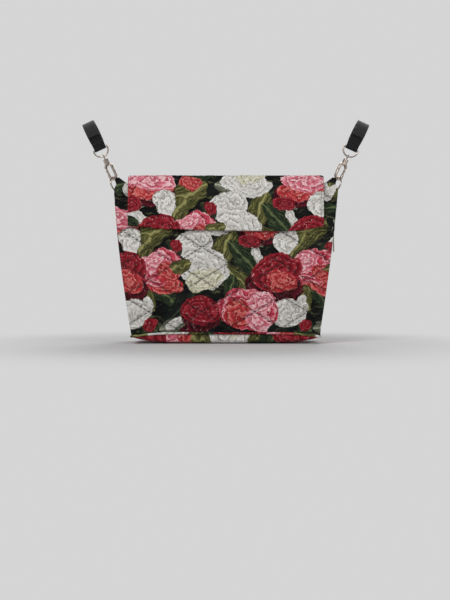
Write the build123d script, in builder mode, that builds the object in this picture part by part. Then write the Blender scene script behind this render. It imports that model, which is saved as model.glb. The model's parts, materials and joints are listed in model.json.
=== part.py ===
from build123d import *

import os
from math import cos, radians, sin

os.makedirs("parts", exist_ok=True)

# A quilted diaper bag that hangs from a stroller handlebar. Millimetres, +Z up, the origin at the
# centre of the base, the front towards -Y. Left is -X.

# ---- driving dimensions: the fabric body ----
base_width = 340.0
base_depth = 120.0
top_width = 404.0
top_depth = 90.0
body_height = 285.0  # the height at which the top width and depth are measured
front_height = 296.0
gusset_height = 282.0
back_height = 303.0
panel_wall = 4.0  # padded fabric, batting included
corner_cut = 20.0  # the back panel's top corners are cut to take the webbing tabs
seam_height = 18.0  # where the panels are sewn to the base
base_rise = 10.0  # how far the base's ends lift off the ground
base_flat = 230.0  # the length of the base that rests
base_stitch = 40.0  # from the base's middle to each line of stitching across it
piping_radius = 2.5
board_thickness = 2.5
board_margin = 1.0  # all round the board, to the panels
board_corner = 12.0
lining_thickness = 1.0
pouch_thickness = 1.6
sewn_gap = 0.2  # between fabric layers that lie on each other
moving_gap = 0.3  # between curved faces that move on each other

# ---- driving dimensions: flap ----
flap_width = 367.0
flap_thickness = 5.0
flap_drop = 97.0
magnet_radius = 9.0
magnet_thickness = 3.0
magnet_spacing = 180.0
magnet_below_fold = 80.0

# ---- driving dimensions: pockets and zips ----
pouch_length = 84.0
pouch_depth = 130.0
zip_height = 210.0
zip_length = 76.0
tape_end = 4.0  # the tape beyond each end of the coil
tape_height = 22.0
tape_thickness = 1.0
coil_height = 5.0
coil_thickness = 1.6
slider_length = 10.0
slider_wall = 1.2
crown_radius = 0.8
crown_reach = 2.4  # from the bridge's middle to each of its feet
crown_wall = 1.2
crown_rise = 2.4
pull_length = 40.0
pull_width = 5.6
pull_bar = 13.0
pull_stem = 3.0
pull_corner = 1.2
pull_thickness = 1.6
pull_eye_wall = 0.8
slip_width = 240.0
slip_height = 140.0
slip_lift = 45.0  # from the lining's floor to the pocket's lower edge
slip_thickness = 1.6

# ---- driving dimensions: rings, hooks and straps ----
wire_radius = 1.5
ring_width = 26.0  # inside
ring_depth = ring_width / 2 + 5.0  # inside, the lower ring
strap_ring_depth = ring_width / 2 + 1.5  # inside, the upper ring
ring_corner = 2.5
webbing_width = ring_width - 2.0
webbing_wall = 1.5
ring_lean = 17.5  # degrees the lower ring's bar leans from upright
ring_swing = 58.0  # degrees the lower ring stands forward of straight out
tab_out = 18.5  # from the middle of the cut corner to the ring's bar
tab_up = 14.0
tab_straight = 6.0  # the tab keeps its width this far from the ring's bar
hook_lean = 25.0  # degrees the hanging line leans outwards
hook_grip = 6.5  # along the ring's leg, from its bar to the hook
hook_opening = 10.5
hook_wall = 4.6
hook_thickness = 5.0
hook_round = 1.4
hook_reach = 26.0  # from the ring's wire to the top of the opening
hook_tip = 7.5  # from the ring's wire to the top of the hook's tip
barrel_length = 12.0
barrel_radius = 4.4
swivel_radius = 1.6
swivel_head_radius = 2.4
swivel_head_height = 1.2
eye_wire = 1.3
eye_hole = 2.6
gate_width = 2.6
gate_thickness = 3.4
gate_eye_thickness = 1.4
gate_eye_radius = 1.9
gate_drop = 5.5  # from the gate's pivot to its thick part
gate_nub_radius = 1.4
gate_pin_radius = 0.8
gate_slot = 3.0
pin_clearance = 0.05
spring_wire = 0.2
spring_radius = 1.25
spring_pitch = 0.45
spring_turns = 2
bar_radius = 19.0  # the handlebar that the strap closes round
strap_wall = 3.0
strap_neck = 9.0
strap_neck_thickness = 5.0
closure_wall = 1.8
closure_start = 75.0
closure_angle = 130.0


def export_node(node, piece):
    """Label a finished piece and write its STEP file."""
    piece.label = node
    export_step(piece, f"parts/{node}.step")


def export_pair(node, piece):
    """Write a left-hand piece and its mirror image on the right."""
    export_node(f"left_{node}", piece)
    with BuildPart() as right:
        mirror(piece, about=Plane.YZ)
    export_node(f"right_{node}", right.part)


# ---- the tapered body ----
def half_width(height):
    """Half of the body's outer width at a height."""
    return (base_width + (top_width - base_width) * height / body_height) / 2


def half_depth(height):
    """Half of the body's outer depth at a height."""
    return (base_depth + (top_depth - base_depth) * height / body_height) / 2


def tapered(low, high, left, right, front, back):
    """A solid between two heights whose four upright sides are functions of the height."""
    with BuildPart() as block:
        for height in (low, high):
            with BuildSketch(Plane.XY.offset(height)):
                with BuildLine():
                    Polyline(
                        (left(height), front(height)),
                        (right(height), front(height)),
                        (right(height), back(height)),
                        (left(height), back(height)),
                        close=True,
                    )
                make_face()
        loft(ruled=True)
    return block.part


def inner_width(height):
    return half_width(height) - panel_wall


def inner_depth(height):
    return half_depth(height) - panel_wall


def lined_width(height):
    return inner_width(height) - pouch_thickness - 2 * sewn_gap


def lined_depth(height):
    return inner_depth(height) - sewn_gap


with BuildPart() as front_panel:
    add(
        tapered(
            seam_height,
            front_height,
            lambda z: -half_width(z),
            half_width,
            lambda z: -half_depth(z),
            lambda z: -inner_depth(z),
        )
    )
    top_corners = front_panel.edges().filter_by(Axis.Y, tolerance=5).group_by(Axis.Z)[-1]
    fillet(top_corners, front_height - gusset_height)
export_node("front_panel", front_panel.part)

# The back panel's top corners are cut away where the webbing tabs are sewn in.
cut_top = Vector(-(half_width(back_height) - corner_cut), 0, back_height)
cut_low = Vector(-half_width(back_height - corner_cut), 0, back_height - corner_cut)
with BuildPart() as corner_waste:
    with BuildSketch(Plane.XZ):
        with BuildLine():
            Polyline(
                (cut_top.X, cut_top.Z),
                (cut_low.X, cut_low.Z),
                (cut_low.X - corner_cut, cut_low.Z),
                (cut_low.X - corner_cut, cut_top.Z + corner_cut),
                (cut_top.X, cut_top.Z + corner_cut),
                close=True,
            )
        make_face()
    extrude(amount=base_depth, both=True)
    mirror(about=Plane.YZ)

with BuildPart() as back_panel:
    add(
        tapered(
            seam_height,
            back_height,
            lambda z: -half_width(z),
            half_width,
            inner_depth,
            half_depth,
        )
    )
    add(corner_waste.part, mode=Mode.SUBTRACT)
export_node("back_panel", back_panel.part)

left_gusset = tapered(
    seam_height,
    gusset_height,
    lambda z: -half_width(z),
    lambda z: -inner_width(z),
    lambda z: -inner_depth(z),
    inner_depth,
)
export_pair("gusset", left_gusset)

# The base is a padded tray: flat where it rests, its ends lifting towards the side seams. Two
# lines of stitching across it part the padding in three.
base_end = half_width(seam_height)
with BuildPart() as base_panel:
    with BuildSketch(Plane.XZ.offset(-half_depth(0))):
        with BuildLine():
            Line((-base_end, seam_height), (base_end, seam_height))
            Line((base_end, seam_height), (base_end, base_rise))
            rise_middle = ((base_flat / 2 + base_end) / 2, base_rise / 4)
            ThreePointArc((base_end, base_rise), rise_middle, (base_flat / 2, 0))
            Line((base_flat / 2, 0), (-base_flat / 2, 0))
            ThreePointArc(
                (-base_flat / 2, 0), (-rise_middle[0], rise_middle[1]), (-base_end, base_rise)
            )
            Line((-base_end, base_rise), (-base_end, seam_height))
        make_face()
    extrude(amount=base_depth)
    with Locations((-base_stitch, 0, 0), (base_stitch, 0, 0)):
        Box(sewn_gap, 2 * base_depth, 3 * seam_height, mode=Mode.SUBTRACT)
export_node("base_panel", base_panel.part)

# Piping runs round the seam between the panels and the base.
piping_x = base_end + piping_radius
piping_y = base_depth / 2 + piping_radius
with BuildPart() as base_piping:
    with BuildLine() as seam_line:
        FilletPolyline(
            (-piping_x, -piping_y, seam_height),
            (piping_x, -piping_y, seam_height),
            (piping_x, piping_y, seam_height),
            (-piping_x, piping_y, seam_height),
            radius=1.05 * piping_radius,
            close=True,
        )
    with BuildSketch(Plane(origin=seam_line.line @ 0, z_dir=seam_line.line % 0)):
        Circle(piping_radius)
    sweep()
export_node("base_piping", base_piping.part)

# ---- inside the bag ----
with BuildPart() as base_board:
    with BuildSketch(Plane.XY.offset(seam_height)):
        RectangleRounded(
            2 * (inner_width(seam_height) - board_margin),
            2 * (inner_depth(seam_height) - board_margin),
            board_corner,
        )
    extrude(amount=board_thickness)
export_node("base_board", base_board.part)

lining_low = seam_height + board_thickness + sewn_gap
with BuildPart() as lining:
    add(
        tapered(
            lining_low,
            gusset_height,
            lambda z: -lined_width(z),
            lined_width,
            lambda z: -lined_depth(z),
            lined_depth,
        )
    )
    add(
        tapered(
            lining_low + lining_thickness,
            gusset_height,
            lambda z: lining_thickness - lined_width(z),
            lambda z: lined_width(z) - lining_thickness,
            lambda z: lining_thickness - lined_depth(z),
            lambda z: lined_depth(z) - lining_thickness,
        ),
        mode=Mode.SUBTRACT,
    )
export_node("lining", lining.part)

# A flat slip pocket is stitched to the lining's back wall.
slip_back = lining_thickness + sewn_gap
slip_low = lining_low + lining_thickness + slip_lift
inner_pocket = tapered(
    slip_low,
    slip_low + slip_height,
    lambda z: -slip_width / 2,
    lambda z: slip_width / 2,
    lambda z: lined_depth(z) - slip_back - slip_thickness,
    lambda z: lined_depth(z) - slip_back,
)
export_node("inner_pocket", inner_pocket)

# ---- side pockets and their zips ----
side_pocket = tapered(
    zip_height - pouch_depth,
    zip_height,
    lambda z: -inner_width(z) + sewn_gap,
    lambda z: -inner_width(z) + sewn_gap + pouch_thickness,
    lambda z: -pouch_length / 2,
    lambda z: pouch_length / 2,
)
export_pair("side_pocket", side_pocket)

# On the left gusset: x runs forward along the zip, y runs up the slope, z points outwards.
side_slope = (top_width - base_width) / 2 / body_height
zip_plane = Plane(
    origin=(-half_width(zip_height), 0, zip_height),
    x_dir=(0, -1, 0),
    z_dir=(-1, 0, -side_slope),
)
with BuildPart() as zip_tape:
    with BuildSketch(zip_plane):
        Rectangle(zip_length + 2 * tape_end, tape_height)
    extrude(amount=tape_thickness)
export_pair("zip_tape", zip_tape.part)

with BuildPart() as zip_teeth:
    with BuildSketch(zip_plane.offset(tape_thickness)):
        Rectangle(zip_length, coil_height)
    extrude(amount=coil_thickness)
export_pair("zip_teeth", zip_teeth.part)

slider_low = tape_thickness + moving_gap
channel_top = tape_thickness + coil_thickness + moving_gap
slider_top = channel_top + slider_wall
slider_height = coil_height + 2 * (moving_gap + slider_wall)
crown_height = slider_top + crown_rise
slider_park = (zip_length - slider_length) / 2


def zip_slider(park):
    """A slider that straddles the coil, with a small bridge on top for its pull."""
    with BuildPart() as slider:
        with BuildSketch(zip_plane.offset(slider_low)):
            with Locations((park, 0)):
                RectangleRounded(slider_length, slider_height, slider_wall)
        extrude(amount=slider_top - slider_low)
        with BuildSketch(zip_plane.offset(slider_low)):
            with Locations((park, 0)):
                Rectangle(2 * slider_length, coil_height + 2 * moving_gap)
        extrude(amount=channel_top - slider_low, mode=Mode.SUBTRACT)
        with BuildSketch(zip_plane.offset(slider_top)):
            with Locations((park - crown_reach, 0), (park + crown_reach, 0)):
                Rectangle(crown_wall, 2 * crown_radius)
        extrude(amount=crown_rise)
        crown_start = zip_plane.from_local_coords((park - crown_reach, 0, crown_height))
        with BuildSketch(Plane(origin=crown_start, z_dir=zip_plane.x_dir)):
            Circle(crown_radius)
        extrude(amount=2 * crown_reach)
    return slider.part


def zip_pull(park):
    """A long pull that hangs straight down from the slider's bridge."""
    pivot = zip_plane.from_local_coords((park, 0, crown_height))
    with BuildPart() as pull:
        with BuildSketch(Plane(origin=pivot, x_dir=(0, -1, 0), z_dir=(-1, 0, 0))):
            with Locations((0, -pull_length / 2)):
                Rectangle(pull_stem, pull_length)
            with Locations((0, pull_bar / 2 - pull_length)):
                RectangleRounded(pull_width, pull_bar, pull_corner)
        extrude(amount=pull_thickness / 2, both=True)
        eye_plane = Plane(origin=pivot, z_dir=(0, 1, 0))
        with BuildSketch(eye_plane):
            Circle(crown_radius + 2 * pin_clearance + pull_eye_wall)
        extrude(amount=pull_stem / 2, both=True)
        with BuildSketch(eye_plane):
            Circle(crown_radius + 2 * pin_clearance)
        extrude(amount=pull_stem, both=True, mode=Mode.SUBTRACT)
    return pull.part


with BuildPart() as right_slider:
    mirror(zip_slider(slider_park), about=Plane.YZ)
export_node("right_zip_slider", right_slider.part)
with BuildPart() as right_pull:
    mirror(zip_pull(slider_park), about=Plane.YZ)
export_node("right_zip_pull", right_pull.part)
export_node("left_zip_slider", zip_slider(-slider_park))
export_node("left_zip_pull", zip_pull(-slider_park))

# ---- flap: a top run over the opening and a drop down the front ----
flap_gap = 2 * magnet_thickness + moving_gap + sewn_gap
flap_low = back_height + moving_gap
flap_inner_y = half_depth(flap_low) + flap_gap
with BuildPart() as flap_top:
    with BuildSketch(Plane.XY.offset(flap_low)):
        with Locations((0, (half_depth(back_height) - flap_inner_y) / 2)):
            Rectangle(flap_width, half_depth(back_height) + flap_inner_y)
    extrude(amount=flap_thickness)
export_node("flap_top", flap_top.part)

flap_front = tapered(
    flap_low - flap_drop,
    flap_low,
    lambda z: -flap_width / 2,
    lambda z: flap_width / 2,
    lambda z: -half_depth(z) - flap_gap - flap_thickness,
    lambda z: -half_depth(z) - flap_gap,
)
export_node("flap_front", flap_front)

# Magnets face each other between the flap and the front panel.
front_slope = (base_depth - top_depth) / 2 / body_height
magnet_height = flap_low - magnet_below_fold
magnet_plane = Plane(
    origin=(0, -half_depth(magnet_height), magnet_height),
    x_dir=(1, 0, 0),
    z_dir=(0, -1, front_slope),
)
with BuildPart() as front_magnets:
    with BuildSketch(magnet_plane):
        with GridLocations(magnet_spacing, 0, 2, 1):
            Circle(magnet_radius)
    extrude(amount=magnet_thickness)
export_node("front_magnets", front_magnets.part)

with BuildPart() as flap_magnets:
    with BuildSketch(magnet_plane.offset(magnet_thickness + moving_gap)):
        with GridLocations(magnet_spacing, 0, 2, 1):
            Circle(magnet_radius)
    extrude(amount=magnet_thickness)
export_node("flap_magnets", flap_magnets.part)

# ---- the hanging line: tab, lower ring, snap hook, upper ring and strap, all on the left ----
lean = radians(ring_lean)
swing = radians(ring_swing)
tab_y = half_depth(cut_low.Z) - panel_wall / 2
cut_middle = (cut_top + cut_low) * 0.5
ring_centre = Vector(cut_middle.X - tab_out, tab_y, cut_middle.Z + tab_up)
bar_down = Vector(sin(lean), 0, -cos(lean))
bar_out = Vector(-cos(lean), 0, -sin(lean))
ring_bow = bar_out * cos(swing) + Vector(0, -sin(swing), 0)
ring_plane = Plane(origin=ring_centre, x_dir=bar_down, z_dir=bar_down.cross(ring_bow))

hang = radians(hook_lean)
hang_up = Vector(-sin(hang), 0, cos(hang))
hang_across = Vector(cos(hang), 0, sin(hang))
ring_half = ring_width / 2 + wire_radius
hook_origin = ring_plane.from_local_coords((-ring_half, hook_grip, 0))
hook_normal = (ring_bow - hang_up * ring_bow.dot(hang_up)).normalized()
hook_plane = Plane(origin=hook_origin, x_dir=hang_up.cross(hook_normal), z_dir=hook_normal)

hook_radius = hook_opening / 2
bend_centre = hook_radius - wire_radius - moving_gap
slot_length = hook_reach - hook_radius - bend_centre
barrel_top = hook_reach + barrel_length
eye_centre = barrel_top + 2 * moving_gap + eye_hole + 2 * eye_wire
ring_hang = eye_centre + eye_hole - wire_radius - moving_gap
strap_ring_bow = strap_ring_depth + 2 * wire_radius
strap_ring_centre = hook_origin + hang_up * (ring_hang + strap_ring_bow)
strap_ring_plane = Plane(origin=strap_ring_centre, x_dir=hang_across, z_dir=(0, 1, 0))
strap_plane = Plane(origin=strap_ring_centre, x_dir=(0, 1, 0), z_dir=hang_across)
bar_distance = bar_radius + strap_wall + strap_neck


def d_ring(plane, bow):
    """A wire ring whose straight bar lies on the plane's x axis and whose bow is towards +y."""
    with BuildPart() as ring:
        with BuildSketch(plane, mode=Mode.PRIVATE) as shape:
            with BuildLine():
                Line((-ring_half, 0), (ring_half, 0))
                Line((ring_half, 0), (ring_half, bow - ring_half))
                ThreePointArc((ring_half, bow - ring_half), (0, bow), (-ring_half, bow - ring_half))
                Line((-ring_half, bow - ring_half), (-ring_half, 0))
            make_face()
            fillet(shape.vertices().group_by(Axis.Y)[0], ring_corner)
        wire = shape.sketch.face().outer_wire()
        with BuildSketch(Plane(origin=wire @ 0, z_dir=wire % 0)):
            Circle(wire_radius)
        sweep(path=wire)
    return ring.part


export_pair("bag_ring", d_ring(ring_plane, ring_depth + 2 * wire_radius))
export_pair("strap_ring", d_ring(strap_ring_plane, strap_ring_bow))

# The tab is doubled webbing sewn into the cut corner, and its fold holds the lower ring.
bar_high_end = ring_centre - bar_down * (webbing_width / 2)
bar_low_end = ring_centre + bar_down * (webbing_width / 2)
neck_high = bar_high_end - bar_out * tab_straight
neck_low = bar_low_end - bar_out * tab_straight
fold_hole = wire_radius + moving_gap
with BuildPart() as webbing_tab:
    with BuildSketch(Plane.XZ.offset(-tab_y)):
        with BuildLine():
            Polyline(
                (cut_top.X, cut_top.Z),
                (cut_low.X, cut_low.Z),
                (neck_low.X, neck_low.Z),
                (bar_low_end.X, bar_low_end.Z),
                (bar_high_end.X, bar_high_end.Z),
                (neck_high.X, neck_high.Z),
                close=True,
            )
        make_face()
    extrude(amount=webbing_wall, both=True)
    with BuildSketch(Plane(origin=ring_centre, z_dir=bar_down)):
        Circle(fold_hole + webbing_wall)
    extrude(amount=webbing_width / 2, both=True)
    with BuildSketch(Plane(origin=ring_centre, z_dir=bar_down)):
        Circle(fold_hole)
    extrude(amount=webbing_width, both=True, mode=Mode.SUBTRACT)
export_pair("webbing_tab", webbing_tab.part)

# The hook's body: an oval eye opened on its outer side, with a round barrel above it.
gate_x = -(hook_radius + hook_wall / 2)
gate_pivot_y = hook_reach - gate_eye_radius
gate_gap_top = gate_pivot_y - gate_eye_radius - 2 * moving_gap
waste_width = hook_wall + hook_radius
with BuildPart() as snap_hook:
    with BuildSketch(hook_plane):
        with Locations((0, bend_centre + slot_length / 2)):
            SlotCenterToCenter(slot_length, hook_opening + 2 * hook_wall, rotation=90)
        with Locations((0, hook_reach)):
            Rectangle(2 * barrel_radius, barrel_length, align=(Align.CENTER, Align.MIN))
        with Locations((0, bend_centre + slot_length / 2)):
            SlotCenterToCenter(slot_length, hook_opening, rotation=90, mode=Mode.SUBTRACT)
        with Locations((gate_x, hook_tip)):
            Rectangle(
                waste_width,
                gate_gap_top - hook_tip,
                align=(Align.CENTER, Align.MIN),
                mode=Mode.SUBTRACT,
            )
    extrude(amount=hook_thickness / 2, both=True)
    rim = snap_hook.edges().filter_by(GeomType.LINE, reverse=True)
    fillet(rim, hook_round)
    with BuildSketch(Plane(origin=hook_plane.from_local_coords((0, hook_reach, 0)), z_dir=hang_up)):
        Circle(barrel_radius)
    extrude(amount=barrel_length)
    with BuildSketch(Plane(origin=hook_plane.from_local_coords((0, barrel_top, 0)), z_dir=hang_up)):
        Circle(swivel_radius + pin_clearance)
    extrude(amount=-(barrel_length + hook_radius), mode=Mode.SUBTRACT)
    with BuildSketch(hook_plane):
        with Locations((gate_x, gate_gap_top)):
            Rectangle(
                waste_width,
                2 * gate_eye_radius + 4 * moving_gap,
                align=(Align.CENTER, Align.MIN),
            )
    extrude(amount=gate_slot / 2, both=True, mode=Mode.SUBTRACT)
    with BuildSketch(hook_plane):
        with Locations((gate_x, gate_pivot_y)):
            Circle(gate_pin_radius + pin_clearance)
    extrude(amount=hook_thickness, both=True, mode=Mode.SUBTRACT)
export_pair("snap_hook", snap_hook.part)

gate_length = gate_pivot_y - hook_tip - moving_gap
gate_side = -(gate_slot - gate_eye_thickness) / 2 + moving_gap / 2
with BuildPart() as hook_gate:
    with BuildSketch(hook_plane):
        with Locations((gate_x, gate_pivot_y - gate_length)):
            Rectangle(gate_width, gate_length - gate_drop, align=(Align.CENTER, Align.MIN))
        with Locations((gate_x - gate_width / 2, gate_pivot_y - gate_length / 2)):
            Circle(gate_nub_radius)
    extrude(amount=gate_thickness / 2, both=True)
    with BuildSketch(hook_plane.offset(gate_side)):
        with Locations((gate_x, gate_pivot_y)):
            Rectangle(gate_width, gate_drop + pin_clearance, align=(Align.CENTER, Align.MAX))
            Circle(gate_eye_radius)
            Circle(gate_pin_radius + pin_clearance, mode=Mode.SUBTRACT)
    extrude(amount=gate_eye_thickness / 2, both=True)
export_pair("hook_gate", hook_gate.part)

with BuildPart() as gate_pin:
    with BuildSketch(hook_plane):
        with Locations((gate_x, gate_pivot_y)):
            Circle(gate_pin_radius)
    extrude(amount=hook_thickness / 2 - moving_gap, both=True)
export_pair("gate_pin", gate_pin.part)

spring_start = gate_side + gate_eye_thickness / 2 + 2 * spring_wire
with BuildPart() as gate_spring:
    coil = Helix(
        pitch=spring_pitch,
        height=spring_pitch * spring_turns,
        radius=spring_radius,
        center=hook_plane.from_local_coords((gate_x, gate_pivot_y, spring_start)),
        direction=hook_normal,
    )
    with BuildSketch(Plane(origin=coil @ 0, z_dir=coil % 0)):
        Circle(spring_wire)
    sweep(path=coil, is_frenet=True)
export_pair("gate_spring", gate_spring.part)

# The swivel turns in the barrel: a riveted stem with an eye for the upper ring.
arch_top = hook_reach - hook_radius + (hook_radius**2 - swivel_head_radius**2) ** 0.5
head_top = arch_top - pin_clearance
stem_bottom = hook_plane.from_local_coords((0, head_top, 0))
eye_middle = hook_plane.from_local_coords((0, eye_centre, 0))
with BuildPart() as swivel_eye:
    with Locations(Plane(origin=eye_middle, z_dir=hang_across)):
        Torus(eye_hole + eye_wire, eye_wire)
    with BuildSketch(Plane(origin=stem_bottom, z_dir=hang_up)):
        Circle(swivel_radius)
    extrude(amount=eye_centre - eye_hole - eye_wire - head_top)
    with BuildSketch(Plane(origin=stem_bottom, z_dir=hang_up)):
        Circle(swivel_head_radius)
    extrude(amount=-swivel_head_height)
export_pair("swivel_eye", swivel_eye.part)

# The strap's small loop holds the upper ring, and its large one closes round the handlebar.
bar_outer = bar_radius + strap_wall
with BuildPart() as handlebar_strap:
    with BuildSketch(strap_plane):
        Circle(fold_hole + webbing_wall)
        Rectangle(strap_neck_thickness, bar_distance, align=(Align.CENTER, Align.MIN))
        with Locations((0, bar_distance)):
            Circle(bar_outer)
            Circle(bar_radius, mode=Mode.SUBTRACT)
        Circle(fold_hole, mode=Mode.SUBTRACT)
    extrude(amount=webbing_width / 2, both=True)
export_pair("handlebar_strap", handlebar_strap.part)

# The hook-and-loop end lies on the outside of the large loop.
with BuildPart() as strap_closure:
    with BuildSketch(strap_plane):
        with BuildLine():
            closure_inner = bar_outer + sewn_gap
            CenterArc((0, bar_distance), closure_inner, closure_start, closure_angle)
            CenterArc(
                (0, bar_distance), closure_inner + closure_wall, closure_start, closure_angle
            )
            for angle in (closure_start, closure_start + closure_angle):
                start = Vector(0, bar_distance) + Vector(closure_inner, 0).rotate(Axis.Z, angle)
                reach = Vector(closure_wall, 0).rotate(Axis.Z, angle)
                Line(start, start + reach)
        make_face()
    extrude(amount=webbing_width / 2, both=True)
export_pair("strap_closure", strap_closure.part)
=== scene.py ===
# %% [markdown]
# # A quilted diaper bag with its snap hooks
# The bag hangs from a stroller handlebar by two straps. Its body is printed fabric, quilted on
# the front, with a padded flap. The rigid parts come from the CAD frame and keep their places.
# Every soft part is built here, over the space that its CAD solid holds.

import json
import math

import bmesh
import bpy
from mathutils import Matrix, Vector, noise


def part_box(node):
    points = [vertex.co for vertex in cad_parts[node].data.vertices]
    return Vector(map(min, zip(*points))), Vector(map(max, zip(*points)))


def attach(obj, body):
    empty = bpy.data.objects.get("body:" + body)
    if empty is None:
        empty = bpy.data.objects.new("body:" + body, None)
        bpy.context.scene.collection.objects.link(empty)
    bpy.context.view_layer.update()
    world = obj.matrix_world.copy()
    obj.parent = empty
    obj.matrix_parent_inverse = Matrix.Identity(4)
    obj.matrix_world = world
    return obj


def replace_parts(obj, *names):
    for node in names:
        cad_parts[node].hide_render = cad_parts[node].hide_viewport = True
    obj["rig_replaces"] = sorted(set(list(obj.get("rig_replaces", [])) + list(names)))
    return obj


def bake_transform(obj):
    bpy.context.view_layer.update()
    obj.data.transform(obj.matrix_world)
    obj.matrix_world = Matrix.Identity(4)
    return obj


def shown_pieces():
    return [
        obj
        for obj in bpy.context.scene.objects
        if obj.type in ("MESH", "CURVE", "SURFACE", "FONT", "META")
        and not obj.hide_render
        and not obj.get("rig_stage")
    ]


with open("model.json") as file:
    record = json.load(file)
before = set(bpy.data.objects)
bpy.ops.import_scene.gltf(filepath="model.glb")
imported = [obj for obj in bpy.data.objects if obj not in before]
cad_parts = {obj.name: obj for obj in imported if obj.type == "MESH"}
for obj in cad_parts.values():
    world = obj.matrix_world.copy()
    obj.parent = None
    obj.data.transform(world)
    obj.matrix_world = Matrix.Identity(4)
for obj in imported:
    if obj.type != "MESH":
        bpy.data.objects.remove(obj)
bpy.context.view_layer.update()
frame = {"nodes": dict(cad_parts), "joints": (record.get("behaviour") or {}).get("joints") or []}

# %% [markdown]
# The camera looks level at the front of the bag from about 1.4 m away, a little below its
# middle, with a normal lens. The object stands in the middle of the view.

# %% Camera
camera_data = bpy.data.cameras.new("camera")
camera_data.lens = 44.5
camera_data.sensor_width = 36
camera = bpy.data.objects.new("camera", camera_data)
camera.location = (-0.0015, -1.41, 0.080)
camera.rotation_euler = (math.radians(90), 0, 0)
bpy.context.scene.collection.objects.link(camera)
bpy.context.scene.camera = camera

# %% [markdown]
# A big soft light from the upper left of the camera gives the fabric its shape, a weaker one
# from the right opens the shadows, and a pale world keeps the nickel from turning black.

# %% Lights and world


def area_light(name, location, target, size, power):
    """A square soft light that faces its target."""
    light = bpy.data.lights.new(name, "AREA")
    light.size = size
    light.energy = power
    lamp = bpy.data.objects.new(name, light)
    lamp.location = location
    aim = Vector(target) - Vector(location)
    lamp.rotation_euler = aim.to_track_quat("-Z", "Y").to_euler()
    bpy.context.scene.collection.objects.link(lamp)
    return lamp


bag_middle = (0, 0, 0.2)
area_light("key_light", (-0.9, -1.5, 1.5), bag_middle, 1.0, 19)
area_light("fill_light", (1.3, -1.3, 0.7), bag_middle, 1.0, 6)
area_light("back_light", (0.3, 1.4, 1.3), bag_middle, 1.0, 12)
backdrop_grey = (0.665, 0.665, 0.665, 1)
world = bpy.data.worlds.new("studio")
world.use_nodes = True
studio = world.node_tree
seen = studio.nodes.new("ShaderNodeBackground")
seen.inputs["Color"].default_value = backdrop_grey
lighting = studio.nodes["Background"]
lighting.inputs["Color"].default_value = (0.8, 0.81, 0.82, 1)
lighting.inputs["Strength"].default_value = 0.36
chosen = studio.nodes.new("ShaderNodeMixShader")
studio.links.new(studio.nodes.new("ShaderNodeLightPath").outputs["Is Camera Ray"], chosen.inputs[0])
studio.links.new(lighting.outputs[0], chosen.inputs[1])
studio.links.new(seen.outputs[0], chosen.inputs[2])
studio.links.new(chosen.outputs[0], studio.nodes["World Output"].inputs["Surface"])
bpy.context.scene.world = world
bpy.context.scene.view_settings.view_transform = "Standard"

# %% [markdown]
# The floor is a round sheet. Near the bag it takes its shadow, and further out it fades into the
# same even grey as the backdrop, so that no horizon shows.

# %% Floor
floor_mesh = bpy.data.meshes.new("floor")
disc = bmesh.new()
bmesh.ops.create_circle(disc, cap_ends=True, segments=96, radius=6)
disc.to_mesh(floor_mesh)
disc.free()
floor = bpy.data.objects.new("floor", floor_mesh)
bpy.context.scene.collection.objects.link(floor)
floor_material = bpy.data.materials.new("pale_floor")
floor_material.use_nodes = True
floor_tree = floor_material.node_tree
floor_shader = floor_tree.nodes["Principled BSDF"]
floor_shader.inputs["Base Color"].default_value = (0.72, 0.72, 0.72, 1)
floor_shader.inputs["Roughness"].default_value = 0.9
far_glow = floor_tree.nodes.new("ShaderNodeEmission")
far_glow.inputs["Color"].default_value = backdrop_grey
floor_place = floor_tree.nodes.new("ShaderNodeTexCoord")
from_bag = floor_tree.nodes.new("ShaderNodeVectorMath")
from_bag.operation = "LENGTH"
floor_tree.links.new(floor_place.outputs["Object"], from_bag.inputs[0])
fade = floor_tree.nodes.new("ShaderNodeMapRange")
fade.interpolation_type = "SMOOTHSTEP"
fade.inputs["From Min"].default_value = 0.22
fade.inputs["From Max"].default_value = 0.62
floor_tree.links.new(from_bag.outputs["Value"], fade.inputs["Value"])
floor_mix = floor_tree.nodes.new("ShaderNodeMixShader")
floor_tree.links.new(fade.outputs["Result"], floor_mix.inputs[0])
floor_tree.links.new(floor_shader.outputs[0], floor_mix.inputs[1])
floor_tree.links.new(far_glow.outputs[0], floor_mix.inputs[2])
floor_tree.links.new(floor_mix.outputs[0], floor_tree.nodes["Material Output"].inputs["Surface"])
floor_mesh.materials.append(floor_material)
floor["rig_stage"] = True
print("floor faces", len(floor_mesh.polygons))

# %% [markdown]
# ## Materials
# Fabric is a plain weave under a printed picture. The weave is one node group that any cloth can
# use: two bands of waves crossed at right angles, given out as a height and a tone.

# %% Node helpers


def node_tree(name, inputs, outputs):
    """A shader node group with named sockets, its input and output nodes included."""
    tree = bpy.data.node_groups.new(name, "ShaderNodeTree")
    for label, kind, value in inputs:
        socket = tree.interface.new_socket(label, in_out="INPUT", socket_type=kind)
        if value is not None:
            socket.default_value = value
    for label, kind in outputs:
        tree.interface.new_socket(label, in_out="OUTPUT", socket_type=kind)
    return tree, tree.nodes.new("NodeGroupInput"), tree.nodes.new("NodeGroupOutput")


def math_node(tree, operation, first, second=None, third=None):
    """A Math node; each operand is a number or a socket."""
    node = tree.nodes.new("ShaderNodeMath")
    node.operation = operation
    for slot_number, operand in enumerate((first, second, third)):
        if operand is None:
            continue
        if isinstance(operand, (int, float)):
            node.inputs[slot_number].default_value = operand
        else:
            tree.links.new(operand, node.inputs[slot_number])
    return node.outputs[0]


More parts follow.
